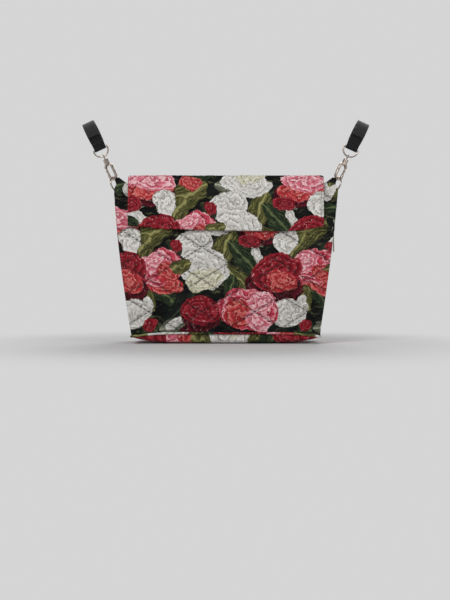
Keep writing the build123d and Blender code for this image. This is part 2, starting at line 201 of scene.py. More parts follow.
def vector_node(tree, operation, first, second=None, third=None, scale=None, output=0):
    """A Vector Math node; each operand is a triple or a socket."""
    node = tree.nodes.new("ShaderNodeVectorMath")
    node.operation = operation
    for slot_number, operand in enumerate((first, second, third)):
        if operand is None:
            continue
        if isinstance(operand, tuple):
            node.inputs[slot_number].default_value = operand
        else:
            tree.links.new(operand, node.inputs[slot_number])
    if isinstance(scale, (int, float)):
        node.inputs["Scale"].default_value = scale
    elif scale is not None:
        tree.links.new(scale, node.inputs["Scale"])
    return node.outputs[output]


def mix_node(tree, kind, factor, first, second):
    """A Mix node for FLOAT, VECTOR or RGBA; each operand is a value or a socket."""
    node = tree.nodes.new("ShaderNodeMix")
    node.data_type = kind
    offset = {"FLOAT": 2, "VECTOR": 4, "RGBA": 6}[kind]
    for slot_number, operand in ((0, factor), (offset, first), (offset + 1, second)):
        if isinstance(operand, bpy.types.NodeSocket):
            tree.links.new(operand, node.inputs[slot_number])
        else:
            node.inputs[slot_number].default_value = operand
    return node.outputs[{"FLOAT": 0, "VECTOR": 1, "RGBA": 2}[kind]]


def smooth_step(tree, value, low, high):
    """0 below low, 1 above high, smooth between."""
    node = tree.nodes.new("ShaderNodeMapRange")
    node.interpolation_type = "SMOOTHSTEP"
    tree.links.new(value, node.inputs["Value"])
    node.inputs["From Min"].default_value = low
    node.inputs["From Max"].default_value = high
    return node.outputs["Result"]


def noise_node(tree, vector, scale, detail=2.0, roughness=0.5, output="Fac"):
    """A noise texture on a vector."""
    node = tree.nodes.new("ShaderNodeTexNoise")
    tree.links.new(vector, node.inputs["Vector"])
    node.inputs["Scale"].default_value = scale
    node.inputs["Detail"].default_value = detail
    node.inputs["Roughness"].default_value = roughness
    return node.outputs[output]


def use_group(tree, group, **values):
    """Places a group in a tree; underscores in a keyword stand for spaces in a socket's name."""
    node = tree.nodes.new("ShaderNodeGroup")
    node.node_tree = group
    for key, value in values.items():
        socket = node.inputs[key.replace("_", " ")]
        if isinstance(value, bpy.types.NodeSocket):
            tree.links.new(value, socket)
        else:
            socket.default_value = value
    return node


# %% The weave group
weave, weave_in, weave_out = node_tree(
    "cloth_weave",
    [("Vector", "NodeSocketVector", None), ("Threads", "NodeSocketFloat", 1400.0)],
    [("Height", "NodeSocketFloat"), ("Tone", "NodeSocketFloat")],
)
threads = vector_node(
    weave, "SCALE", weave_in.outputs["Vector"], scale=weave_in.outputs["Threads"]
)
split = weave.nodes.new("ShaderNodeSeparateXYZ")
weave.links.new(threads, split.inputs[0])
warp_thread = math_node(weave, "SINE", math_node(weave, "MULTIPLY", split.outputs[0], math.pi))
weft_thread = math_node(weave, "SINE", math_node(weave, "MULTIPLY", split.outputs[1], math.pi))
crossing = math_node(weave, "MULTIPLY", warp_thread, weft_thread)
slub = noise_node(weave, weave_in.outputs["Vector"], 260.0)
weave.links.new(
    math_node(weave, "MULTIPLY_ADD", crossing, 0.5, 0.5), weave_out.inputs["Height"]
)
weave.links.new(
    math_node(weave, "MULTIPLY_ADD", slub, 0.3, 0.85), weave_out.inputs["Tone"]
)

# %% [markdown]
# ## The print
# The cloth is printed with painted peonies. Each flower or leaf is a stamp: an oval place on the
# cloth with three paint colours. A stamp passes on its own place and colours where it covers the
# cloth, and those of the stamps below it elsewhere, so the petals are painted only once, at the
# end, in the coordinates of whichever stamp is on top. The print repeats across the cloth.

# %% One stamp
repeat_width = 0.281
repeat_height = 0.290
half_repeat = (repeat_width / 2, repeat_height / 2, 1.0)

stamp, stamp_in, stamp_out = node_tree(
    "print_stamp",
    [
        ("Cloth", "NodeSocketVector", None),
        ("Place", "NodeSocketVector", None),
        ("Turn", "NodeSocketVector", None),
        ("Reach", "NodeSocketVector", None),
        ("Style", "NodeSocketFloat", 4.0),
        ("Light", "NodeSocketColor", None),
        ("Middle", "NodeSocketColor", None),
        ("Dark", "NodeSocketColor", None),
        ("Local Below", "NodeSocketVector", None),
        ("Light Below", "NodeSocketColor", None),
        ("Middle Below", "NodeSocketColor", None),
        ("Dark Below", "NodeSocketColor", None),
    ],
    [
        ("Local", "NodeSocketVector"),
        ("Light", "NodeSocketColor"),
        ("Middle", "NodeSocketColor"),
        ("Dark", "NodeSocketColor"),
    ],
)
from_place = vector_node(
    stamp, "SUBTRACT", stamp_in.outputs["Cloth"], stamp_in.outputs["Place"]
)
wrapped = vector_node(
    stamp, "WRAP", from_place, half_repeat, tuple(-side for side in half_repeat)
)
oval = stamp.nodes.new("ShaderNodeMapping")
oval.vector_type = "TEXTURE"
stamp.links.new(wrapped, oval.inputs["Vector"])
stamp.links.new(stamp_in.outputs["Turn"], oval.inputs["Rotation"])
stamp.links.new(stamp_in.outputs["Reach"], oval.inputs["Scale"])
distance = vector_node(stamp, "LENGTH", oval.outputs[0], output=1)
covered = math_node(stamp, "LESS_THAN", distance, 1.0)
style_part = stamp.nodes.new("ShaderNodeCombineXYZ")
stamp.links.new(stamp_in.outputs["Style"], style_part.inputs["Z"])
local = vector_node(stamp, "ADD", oval.outputs[0], style_part.outputs[0])
stamp.links.new(
    mix_node(stamp, "VECTOR", covered, stamp_in.outputs["Local Below"], local),
    stamp_out.inputs["Local"],
)
for tint in ("Light", "Middle", "Dark"):
    stamp.links.new(
        mix_node(
            stamp, "RGBA", covered, stamp_in.outputs[f"{tint} Below"], stamp_in.outputs[tint]
        ),
        stamp_out.inputs[tint],
    )

# %% Paint colours and the stamps, in millimetres on the cloth


def paint(red, green, blue):
    """A paint colour given as screen values from 0 to 255, turned into linear light."""
    return tuple((value / 255) ** 2.2 for value in (red, green, blue)) + (1.0,)


def dye(red, green, blue):
    """A printed colour: screen values dulled towards grey, with the dark ones deepened."""
    grey = 0.3 * red + 0.59 * green + 0.11 * blue
    dulled = [value + 0.22 * (grey - value) for value in (red, green, blue)]
    return paint(*(value * (0.72 + 0.29 * value / 255) for value in dulled))


palettes = {
    "white": (dye(246, 244, 240), dye(216, 212, 206), dye(146, 144, 130)),
    "cream": (dye(246, 240, 226), dye(214, 210, 184), dye(150, 148, 104)),
    "pink": (dye(255, 226, 228), dye(238, 126, 146), dye(192, 36, 62)),
    "rose": (dye(255, 192, 200), dye(228, 64, 92), dye(152, 16, 38)),
    "coral": (dye(248, 142, 132), dye(216, 54, 62), dye(132, 18, 30)),
    "crimson": (dye(214, 66, 82), dye(168, 20, 40), dye(84, 8, 24)),
    "burgundy": (dye(142, 30, 50), dye(92, 10, 28), dye(36, 6, 16)),
    "olive": (dye(172, 168, 100), dye(118, 116, 58), dye(56, 60, 30)),
    "green": (dye(112, 128, 80), dye(58, 78, 50), dye(20, 36, 28)),
    "dusk": (dye(72, 84, 64), dye(34, 46, 40), dye(12, 20, 22)),
    "sage": (dye(184, 188, 164), dye(128, 132, 110), dye(72, 76, 60)),
}
LEAF = -1.0
GROUND = -2.0
# palette, across, up, half width, half height, turn in degrees, petal rings
stamps = [
    ("olive", -70, 284, 44, 17, -24, LEAF),
    ("white", -104, 284, 30, 20, 10, 2.8),
    ("crimson", 4, 288, 34, 20, 12, 3.0),
    ("pink", 44, 284, 28, 18, -14, 2.6),
    ("green", 84, 290, 40, 15, 22, LEAF),
    ("white", 118, 282, 26, 18, -8, 2.4),
    ("dusk", 20, 204, 44, 15, 20, LEAF),
    ("olive", -137, 203, 46, 26, 25, LEAF),
    ("olive", -4, 172, 40, 20, 62, LEAF),
    ("green", 38, 150, 46, 17, -48, LEAF),
    ("sage", 70, 198, 30, 14, 40, LEAF),
    ("olive", 18, 122, 34, 19, -38, LEAF),
    ("green", -118, 96, 40, 14, -42, LEAF),
    ("dusk", -84, 66, 40, 16, 48, LEAF),
    ("olive", -78, 30, 34, 13, 70, LEAF),
    ("green", 8, 96, 32, 12, 78, LEAF),
    ("olive", 138, 92, 34, 13, -66, LEAF),
    ("dusk", 84, 22, 38, 14, 14, LEAF),
    ("olive", 126, 168, 36, 18, 58, LEAF),
    ("sage", -60, 214, 26, 11, -30, LEAF),
    ("green", -108, 246, 36, 15, 12, LEAF),
    ("olive", 22, 262, 40, 16, 34, LEAF),
    ("white", 62, 158, 38, 9, -52, 1.1),
    ("burgundy", -206, 206, 50, 24, 4, 3.0),
    ("coral", -204, 216, 46, 22, 8, 2.4),
    ("pink", -202, 230, 44, 20, -6, 2.2),
    ("coral", -129, 226, 21, 13, 0, 2.2),
    ("white", -26, 224, 48, 26, -8, 3.4),
    ("cream", -12, 242, 30, 16, 20, 2.4),
    ("white", -173, 187, 21, 24, 12, 1.7),
    ("crimson", 44, 187, 21, 14, -6, 2.6),
    ("white", -62, 180, 40, 25, 18, 3.4),
    ("white", -42, 140, 50, 38, -24, 3.8),
    ("cream", -40, 118, 34, 20, 12, 2.2),
    ("green", -94, 170, 16, 15, 30, LEAF),
    ("crimson", -89, 178, 12, 11, 0, 1.3),
    ("dusk", -80, 156, 18, 2.4, -48, LEAF),
    ("burgundy", -168, 112, 32, 30, 20, 2.6),
    ("crimson", -164, 124, 28, 24, -10, 2.8),
    ("coral", -112, 112, 36, 20, -22, 2.8),
    ("rose", -122, 140, 44, 32, 10, 3.6),
    ("pink", -134, 150, 26, 18, 24, 2.4),
    ("coral", -106, 128, 20, 15, -30, 2.2),
    ("olive", -82, 140, 20, 10, 16, LEAF),
    ("burgundy", 88, 106, 54, 30, -12, 3.0),
    ("crimson", 92, 132, 46, 34, 18, 3.6),
    ("coral", 100, 114, 30, 20, -8, 2.2),
    ("burgundy", -50, 38, 40, 20, 8, 2.4),
    ("crimson", -46, 62, 36, 28, -14, 3.2),
    ("white", 113, 56, 32, 27, 20, 2.8),
    ("white", 134, 62, 14, 26, -16, 1.2),
    ("rose", 40, 62, 56, 38, -10, 4.2),
    ("pink", 62, 74, 30, 20, 24, 2.6),
    ("coral", 24, 56, 26, 28, 12, 2.0),
    ("pink", 56, 42, 26, 18, -28, 1.6),
    ("sage", -99, 34, 22, 14, 18, LEAF),
    ("white", -94, 38, 17, 9, 26, 1.6),
    ("green", -137, 30, 16, 15, -20, LEAF),
    ("crimson", -138, 34, 13, 12, 0, 1.5),
]
millimetre = 0.001

# %% [markdown]
# The petals are rings of scallops round the middle of a flower. Each ring runs from a dark root
# to a pale rim, and noise bends the rings so that no two flowers look alike. A leaf is painted
# with a midrib and long streaks, and the ground between them with dim, drawn-out strands.

# %% The print group
print_group, print_in, print_out = node_tree(
    "peony_print",
    [("Vector", "NodeSocketVector", None)],
    [("Color", "NodeSocketColor"), ("Gloss", "NodeSocketFloat")],
)
flat_cloth = print_in.outputs["Vector"]


def shaken(tree, vector, scale, reach):
    """The vector moved by up to about reach by a colour noise."""
    colour = noise_node(tree, vector, scale, detail=1.5, output="Color")
    offset = vector_node(tree, "SUBTRACT", colour, (0.5, 0.5, 0.5))
    flat_offset = vector_node(tree, "MULTIPLY", offset, (2 * reach, 2 * reach, 0.0))
    return vector_node(tree, "ADD", vector, flat_offset)


cloth = shaken(print_group, flat_cloth, 34.0, 0.011)
cloth = shaken(print_group, cloth, 130.0, 0.0032)
cloth = shaken(print_group, cloth, 420.0, 0.0014)
cloth = shaken(print_group, cloth, 1100.0, 0.0007)

ground_place = print_group.nodes.new("ShaderNodeCombineXYZ")
ground_place.inputs["Z"].default_value = GROUND
top_layer = {
    "Local_Below": ground_place.outputs[0],
    "Light_Below": dye(112, 114, 74),
    "Middle_Below": dye(30, 38, 34),
    "Dark_Below": dye(8, 12, 14),
}
for palette, across, up, half_width, half_height, turn, rings in stamps:
    light, middle, dark = palettes[palette]
    placed = use_group(
        print_group,
        stamp,
        Cloth=cloth,
        Place=(across * millimetre, up * millimetre, 0),
        Turn=(0, 0, math.radians(turn)),
        Reach=(half_width * millimetre, half_height * millimetre, 1),
        Style=rings,
        Light=light,
        Middle=middle,
        Dark=dark,
        **top_layer,
    )
    top_layer = {
        "Local_Below": placed.outputs["Local"],
        "Light_Below": placed.outputs["Light"],
        "Middle_Below": placed.outputs["Middle"],
        "Dark_Below": placed.outputs["Dark"],
    }
light, middle, dark = (top_layer[f"{name}_Below"] for name in ("Light", "Middle", "Dark"))

spot = print_group.nodes.new("ShaderNodeSeparateXYZ")
print_group.links.new(top_layer["Local_Below"], spot.inputs[0])
style = spot.outputs["Z"]
flat_spot = vector_node(print_group, "MULTIPLY", top_layer["Local_Below"], (1.0, 1.0, 0.0))
radius = vector_node(print_group, "LENGTH", flat_spot, output=1)
angle = math_node(print_group, "ARCTAN2", spot.outputs["Y"], spot.outputs["X"])
drift = math_node(print_group, "SUBTRACT", noise_node(print_group, flat_cloth, 62.0), 0.5)
lobe_angle = math_node(
    print_group, "MULTIPLY_ADD", angle, 2.5, math_node(print_group, "MULTIPLY", drift, 9.0)
)
scallop = math_node(print_group, "ABSOLUTE", math_node(print_group, "SINE", lobe_angle))
ring_count = math_node(print_group, "MULTIPLY", radius, style)
ring_place = math_node(
    print_group,
    "ADD",
    math_node(print_group, "MULTIPLY_ADD", scallop, 0.42, ring_count),
    math_node(print_group, "MULTIPLY", drift, 2.6),
)
tip_angle = math_node(
    print_group, "MULTIPLY_ADD", angle, 13.0, math_node(print_group, "MULTIPLY", drift, 30.0)
)
tip = math_node(print_group, "ABSOLUTE", math_node(print_group, "SINE", tip_angle))
ring_place = math_node(print_group, "MULTIPLY_ADD", tip, 0.16, ring_place)
ring = math_node(print_group, "FRACT", ring_place)
streak_angle = math_node(print_group, "MULTIPLY", angle, 7.0)
streak_space = print_group.nodes.new("ShaderNodeCombineXYZ")
print_group.links.new(streak_angle, streak_space.inputs["X"])
print_group.links.new(ring_place, streak_space.inputs["Y"])
streak = noise_node(print_group, streak_space.outputs[0], 1.4, detail=3.0, roughness=0.6)
rim_strength = smooth_step(print_group, streak, 0.25, 0.62)

petal = mix_node(print_group, "RGBA", smooth_step(print_group, ring, 0.0, 0.34), dark, middle)
rim = math_node(
    print_group, "MULTIPLY", smooth_step(print_group, ring, 0.38, 0.9), rim_strength
)
petal = mix_node(print_group, "RGBA", rim, petal, light)
fold_space = print_group.nodes.new("ShaderNodeCombineXYZ")
print_group.links.new(
    math_node(print_group, "MULTIPLY", angle, 24.0), fold_space.inputs["X"]
)
print_group.links.new(ring_place, fold_space.inputs["Y"])
fold = noise_node(print_group, fold_space.outputs[0], 1.2, detail=2.0)
crease = math_node(
    print_group, "MULTIPLY", smooth_step(print_group, fold, 0.52, 0.74), 0.55
)
petal = mix_node(print_group, "RGBA", crease, petal, dark)
lit_edge = math_node(
    print_group,
    "MULTIPLY",
    smooth_step(print_group, ring, 0.9, 0.97),
    smooth_step(print_group, streak, 0.5, 0.62),
)
lit_edge = math_node(print_group, "MULTIPLY", lit_edge, 0.6)
petal = mix_node(print_group, "RGBA", lit_edge, petal, dye(250, 238, 232))

streaked_leaf = vector_node(print_group, "MULTIPLY", flat_spot, (1.6, 9.0, 0.0))
leaf_streak = noise_node(print_group, streaked_leaf, 1.2, detail=3.0, roughness=0.6)
leaf = mix_node(
    print_group, "RGBA", smooth_step(print_group, leaf_streak, 0.34, 0.66), dark, middle
)
rib_distance = math_node(print_group, "ABSOLUTE", spot.outputs["Y"])
rib = math_node(print_group, "SUBTRACT", 1.0, smooth_step(print_group, rib_distance, 0.0, 0.2))
vein = math_node(print_group, "MULTIPLY", smooth_step(print_group, leaf_streak, 0.5, 0.72), 0.8)
leaf = mix_node(print_group, "RGBA", math_node(print_group, "MAXIMUM", rib, vein), leaf, light)

strand_space = print_group.nodes.new("ShaderNodeMapping")
print_group.links.new(cloth, strand_space.inputs["Vector"])
strand_space.inputs["Rotation"].default_value = (0, 0, math.radians(38))
strand_space.inputs["Scale"].default_value = (1.0, 4.2, 1.0)
strand = noise_node(print_group, strand_space.outputs[0], 46.0, detail=3.0)
haze = noise_node(print_group, flat_cloth, 30.0, detail=2.0)
ground = mix_node(print_group, "RGBA", smooth_step(print_group, haze, 0.4, 0.66), dark, middle)
ground = mix_node(
    print_group,
    "RGBA",
    math_node(print_group, "MULTIPLY", smooth_step(print_group, strand, 0.54, 0.7), 0.75),
    ground,
    light,
)
is_leaf = math_node(print_group, "LESS_THAN", style, 0.0)
is_ground = math_node(print_group, "LESS_THAN", style, (LEAF + GROUND) / 2)
picture = mix_node(print_group, "RGBA", is_leaf, petal, leaf)
picture = mix_node(print_group, "RGBA", is_ground, picture, ground)
print_group.links.new(picture, print_out.inputs["Color"])
print_group.links.new(rim_strength, print_out.inputs["Gloss"])
print("stamps on the cloth", len(stamps))

# %% [markdown]
# ## Stitching
# The front is quilted in diamonds. The same sum gives the stitch lines and the painted shade of
# the hollows in the shader, and the hollows in the mesh: two families of slanted lines, and the
# distance to the nearest one.

# %% The quilting's diamonds
diamond_half_width = 0.0482
diamond_half_height = 0.0295
diamond_crossing = (-0.0437, 0.1175)
line_spacing = 2 * diamond_half_width * diamond_half_height / math.hypot(
    diamond_half_width, diamond_half_height
)


def quilt_places(across, up):
    """Where a point lies in each family of lines, counted in lines."""
    right = (across - diamond_crossing[0]) / (2 * diamond_half_width)
    rise = (up - diamond_crossing[1]) / (2 * diamond_half_height)
    return right + rise, right - rise


def quilt_distance(across, up):
    """The distance in metres from a point to the nearest line of stitching."""
    gaps = [abs(place - round(place)) for place in quilt_places(across, up)]
    return min(gaps) * line_spacing


print("distance between quilting lines", round(line_spacing, 4))

stitches, stitches_in, stitches_out = node_tree(
    "quilt_stitches",
    [("Vector", "NodeSocketVector", None), ("Thread", "NodeSocketFloat", 0.0007)],
    [("Line", "NodeSocketFloat"), ("Hollow Shade", "NodeSocketFloat")],
)
centred = vector_node(
    stitches, "SUBTRACT", stitches_in.outputs["Vector"], diamond_crossing + (0.0,)
)
counted = vector_node(
    stitches,
    "MULTIPLY",
    centred,
    (0.5 / diamond_half_width, 0.5 / diamond_half_height, 0.0),
)
counted_parts = stitches.nodes.new("ShaderNodeSeparateXYZ")
stitches.links.new(counted, counted_parts.inputs[0])
gaps = []
for operation in ("ADD", "SUBTRACT"):
    family = math_node(stitches, operation, counted_parts.outputs[0], counted_parts.outputs[1])
    gaps.append(math_node(stitches, "PINGPONG", family, 0.5))
nearest = math_node(
    stitches, "MULTIPLY", math_node(stitches, "MINIMUM", gaps[0], gaps[1]), line_spacing
)
close_by = math_node(
    stitches,
    "SUBTRACT",
    1.0,
    smooth_step(stitches, math_node(stitches, "DIVIDE", nearest, 0.001), 0.25, 1.1),
)
dash_place = math_node(
    stitches,
    "MULTIPLY",
    math_node(stitches, "MULTIPLY_ADD", counted_parts.outputs[1], 0.059, 0.0),
    math.pi / 0.0034 * 1.6,
)
dash = smooth_step(stitches, math_node(stitches, "SINE", dash_place), -0.7, -0.2)
stitches.links.new(
    math_node(stitches, "MULTIPLY", close_by, dash), stitches_out.inputs["Line"]
)
# Painted shade: the cloth darkens within 5 mm of each stitch line, where the quilting dips.
painted_hollow_shade = math_node(
    stitches,
    "SUBTRACT",
    1.0,
    smooth_step(stitches, math_node(stitches, "DIVIDE", nearest, 0.001), 0.0, 5.0),
)
stitches.links.new(painted_hollow_shade, stitches_out.inputs["Hollow Shade"])

# %% [markdown]
# The printed cloth is matt polyester. The picture is its base colour, dimmed a little by the
# thread, and the weave and the stitching press into it as a fine bump. On the quilted cloth,
# shade is painted into the hollows beside each line of stitching.

# %% Cloth materials
cloth_sheen = 0.03


def cloth_material(name, roughness, sheen, bump_depth, paint_cloth, bump_strength=0.5):
    """A woven material. paint_cloth(tree, place) returns its colour and extra height sockets."""
    material = bpy.data.materials.new(name)
    material.use_nodes = True
    tree = material.node_tree
    shader = tree.nodes["Principled BSDF"]
    shader.inputs["Roughness"].default_value = roughness
    shader.inputs["Sheen Weight"].default_value = sheen
    shader.inputs["Specular IOR Level"].default_value = 0.16
    flat = tree.nodes.new("ShaderNodeUVMap")
    flat.uv_map = "cloth"
    colour, height = paint_cloth(tree, flat.outputs[0])
    tree.links.new(colour, shader.inputs["Base Color"])
    bump = tree.nodes.new("ShaderNodeBump")
    bump.inputs["Strength"].default_value = bump_strength
    bump.inputs["Distance"].default_value = bump_depth
    tree.links.new(height, bump.inputs["Height"])
    tree.links.new(bump.outputs[0], shader.inputs["Normal"])
    return material


def printed(tree, place):
    """The print, dimmed by the thread, with the weave as its height."""
    picture_node = use_group(tree, print_group, Vector=place)
    thread = use_group(tree, weave, Vector=place, Threads=1500.0)
    colour = vector_node(
        tree, "SCALE", picture_node.outputs["Color"], scale=thread.outputs["Tone"]
    )
    return colour, thread.outputs["Height"]


def printed_and_quilted(tree, place):
    """The print with a dark line of thread along the quilting's hollows, and painted shade darkening
    the cloth beside each line.
    """
    colour, height = printed(tree, place)
    sewn = use_group(tree, stitches, Vector=place)
    # Painted shade: the colour is darkened by up to 28% beside the stitching, in the quilting's
    # hollows.
    dimmed = math_node(tree, "MULTIPLY_ADD", sewn.outputs["Hollow Shade"], -0.28, 1.0)
    colour = vector_node(tree, "SCALE", colour, scale=dimmed)
    colour = mix_node(tree, "RGBA", sewn.outputs["Line"], colour, paint(52, 48, 46))
    sunk = math_node(tree, "MULTIPLY_ADD", sewn.outputs["Line"], -2.5, height)
    return colour, sunk


def plain_weave(shade, thread_count):
    """A function that paints one colour of plain woven cloth, with painted shade where its threads dip.
    """

    def paint_plain(tree, place):
        thread = use_group(tree, weave, Vector=place, Threads=thread_count)
        # Painted shade: the colour falls to 0.55 of itself where the weave's height is lowest, in the
        # dips between threads.
        tone = mix_node(
            tree, "RGBA", thread.outputs["Height"], tuple(0.55 * c for c in shade[:3]) + (1,), shade
        )
        colour = vector_node(tree, "SCALE", tone, scale=thread.outputs["Tone"])
        return colour, thread.outputs["Height"]

    return paint_plain


printed_cloth = cloth_material("printed_cloth", 0.78, cloth_sheen, 0.0002, printed)
quilted_cloth = cloth_material("quilted_cloth", 0.78, cloth_sheen, 0.0003, printed_and_quilted)
lining_cloth = cloth_material(
    "lining_cloth", 0.7, 0.1, 0.0002, plain_weave(paint(58, 58, 62), 1100.0)
)
webbing_cloth = cloth_material(
    "black_webbing", 0.72, 0.25, 0.0006, plain_weave(paint(30, 30, 32), 520.0)
)
tape_cloth = cloth_material(
    "zip_tape_cloth", 0.75, 0.15, 0.0003, plain_weave(paint(34, 33, 33), 900.0)
)


def fuzz(tree, place):
    """Hook-and-loop pile: short tangled fibres, dull black."""
    tangle = noise_node(tree, place, 2600.0, detail=3.0, roughness=0.7)
    colour = mix_node(tree, "RGBA", tangle, paint(14, 14, 15), paint(58, 58, 60))
    return colour, tangle


fuzzy_cloth = cloth_material("hook_and_loop_cloth", 0.95, 0.6, 0.0008, fuzz)
coil_nylon = cloth_material("coil_nylon_cloth", 0.35, 0.0, 0.0001, plain_weave(paint(24, 24, 25), 800))
print("cloths", len([m for m in bpy.data.materials if "cloth" in m.name]))

# %% [markdown]
# ## Making cloth pieces
# A panel starts as a flat grid. Each vertex is carried to its place on the body by a function,
# and its place on the cloth goes into a map in metres, so that the print keeps its size. A
# Solidify modifier then gives the cloth its padding, with the lining on the inner side.

# %% Cloth helpers


def add_object(name, mesh, materials):
    """A mesh object at the origin with its materials."""
    piece = bpy.data.objects.new(name, mesh)
    bpy.context.scene.collection.objects.link(piece)
    for material in materials:
        mesh.materials.append(material)
    return piece


def cloth_grid(
    name, columns, rows, place, cloth_place, materials, closed=False, turned=False
):
    """A grid whose corners run from -1 to 1, carried to place(s, t).

    closed joins the edges that meet, and turned makes the other side the outer one."""
    grid = bmesh.new()
    bmesh.ops.create_grid(grid, x_segments=columns, y_segments=rows, size=1.0)
    cloth_map = grid.loops.layers.uv.new("cloth")
    for face in grid.faces:
        face.smooth = True
        for loop in face.loops:
            loop[cloth_map].uv = cloth_place(loop.vert.co.x, loop.vert.co.y)
    for vert in grid.verts:
        vert.co = place(vert.co.x, vert.co.y)
    if closed:
        bmesh.ops.remove_doubles(grid, verts=grid.verts, dist=2e-6)
        bmesh.ops.recalc_face_normals(grid, faces=grid.faces)
    if turned:
        bmesh.ops.reverse_faces(grid, faces=grid.faces)
    mesh = bpy.data.meshes.new(name)
    grid.to_mesh(mesh)
    grid.free()
    return add_object(name, mesh, materials)


def settle(piece):
    """Replaces a piece's mesh by what its modifiers make of it."""
    depsgraph = bpy.context.evaluated_depsgraph_get()
    made = bpy.data.meshes.new_from_object(piece.evaluated_get(depsgraph))
    made.name = piece.name
    piece.modifiers.clear()
    piece.vertex_groups.clear()
    piece.data = made
    return piece


def thicken(piece, thickness, levels=0, offset=-1, thin=()):
    """Pads a cloth inwards from its outer face; the thin points get under half of the padding."""
    solid = piece.modifiers.new("padding", "SOLIDIFY")
    solid.thickness = thickness
    solid.offset = offset
    if thin:
        group = piece.vertex_groups.new(name="padded")
        group.add(range(len(piece.data.vertices)), 1.0, "REPLACE")
        group.add(list(thin), 0.45, "REPLACE")
        solid.vertex_group = group.name
    if len(piece.data.materials) > 1:
        solid.material_offset = 1
    if levels:
        smooth = piece.modifiers.new("smooth", "SUBSURF")
        smooth.levels = levels
        smooth.render_levels = levels
    return settle(piece)


def relax(piece, held, growth, pressure, frames, reach):
    """Runs the cloth simulation on a piece and keeps each point within reach of its start."""
    group = piece.vertex_groups.new(name="held")
    group.add(held, 1.0, "REPLACE")
    cloth_modifier = piece.modifiers.new("cloth", "CLOTH")
    settings = cloth_modifier.settings
    settings.quality = 6
    settings.mass = 0.25
    settings.air_damping = 2.0
    settings.tension_stiffness = 18
    settings.compression_stiffness = 18
    settings.shear_stiffness = 8
    settings.bending_stiffness = 0.6
    settings.shrink_min = -growth
    settings.vertex_group_mass = "held"
    settings.use_pressure = True
    settings.uniform_pressure_force = pressure
    settings.effector_weights.gravity = 0
    cloth_modifier.collision_settings.use_collision = False
    cloth_modifier.collision_settings.use_self_collision = False
    cloth_modifier.point_cache.frame_end = frames
    for step in range(1, frames + 1):
        bpy.context.scene.frame_set(step)
    depsgraph = bpy.context.evaluated_depsgraph_get()
    moved = piece.evaluated_get(depsgraph).data
    farthest = 0.0
    for vert, after in zip(piece.data.vertices, moved.vertices):
        step_vector = after.co - vert.co
        farthest = max(farthest, step_vector.length)
        if step_vector.length > reach:
            step_vector = step_vector.normalized() * reach
        vert.co = vert.co + step_vector
    piece.modifiers.clear()
    piece.vertex_groups.clear()
    bpy.context.scene.frame_set(1)
    print(piece.name, "moved up to", round(farthest * 1000, 1), "mm")
    return piece


def edge_points(piece):
    """The indices of the points on a mesh's open edges."""
    shell = bmesh.new()
    shell.from_mesh(piece.data)
    rim = sorted({v.index for e in shell.edges if e.is_boundary for v in e.verts})
    shell.free()
    return rim


# %% [markdown]
# ## The body
# The tapering sides are read from the frame: the gusset's box gives the width at two heights
# and the panels' boxes the depth. Stuffing makes every panel swell between its seams, by
# different amounts at the front, the back and the two ends.

# %% The body's outline
panel_wall = 0.004
gusset_low, gusset_high = (Vector(corner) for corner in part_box("left_gusset"))
front_low, front_high = (Vector(corner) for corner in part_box("front_panel"))
back_low, back_high = (Vector(corner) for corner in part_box("back_panel"))
base_low, base_high = (Vector(corner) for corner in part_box("base_panel"))
seam_height = front_low.z


def between(value, low, high, at_low, at_high):
    """The value on the straight line through two known points."""
    return at_low + (at_high - at_low) * (value - low) / (high - low)


def body_width(up):
    """Half of the body's width at a height."""
    return between(up, gusset_low.z, gusset_high.z, -gusset_high.x + panel_wall, -gusset_low.x)


def body_depth(up):
    """Half of the body's depth at a height."""
    return between(up, front_low.z, front_high.z, -front_low.y, -front_high.y + panel_wall)


def swell(place, low, high):
    """0 at low and high and 1 half-way."""
    share = (place - low) / (high - low)
    return math.sin(math.pi * min(max(share, 0.0), 1.0))


def seam_line(side):
    """The height of the base seam, from -1 at the left corner to 1 at the right one."""
    return seam_height + 0.0028 - 0.0075 * side**4 - 0.0014 * (1 - side**2) ** 3


def side_bulge(end, up):
    """How far a gusset is stuffed outwards at a height; the left end (-1) is fuller."""
    if end < 0:
        return 0.0088 * swell(up, 0.010, 0.355)
    return 0.0073 * swell(up, 0.030, 0.420)


def seam_width(end, up):
    """Half of the width at the upright seams, which are pushed out less than the gussets."""
    return body_width(up) + 0.75 * side_bulge(end, up)


print("half width", [round(body_width(up), 4) for up in (0.02, 0.15, 0.28)])
print("half depth", [round(body_depth(up), 4) for up in (0.02, 0.15, 0.28)])

# %% [markdown]
# The front and the back are one kind of panel: quilted, fullest in the middle, and cut at the
# top corners. The quilting lies flat round the magnets.

# %% The quilted panels
quilt_puff = 0.0026
corner_round = front_high.z - gusset_high.z
corner_cut = 0.020
magnet_low, magnet_high = (Vector(corner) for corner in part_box("front_magnets"))
magnet_radius = (magnet_high.z - magnet_low.z) / 2
magnet_place = (magnet_high.x - magnet_radius, (magnet_low.z + magnet_high.z) / 2)


def front_top(across, end):
    """The height of the front panel's top edge, rounded at its corners."""
    inward = seam_width(end, front_high.z) - abs(across)
    drop = max(corner_round - inward, 0.0)
    return front_high.z - corner_round + math.sqrt(max(corner_round**2 - drop**2, 0.0))


def back_top(across, end):
    """The height of the back panel's top edge, cut off where the tabs are sewn in."""
    inward = body_width(back_high.z) - abs(across)
    return back_high.z - max(corner_cut - inward, 0.0) * 1.1


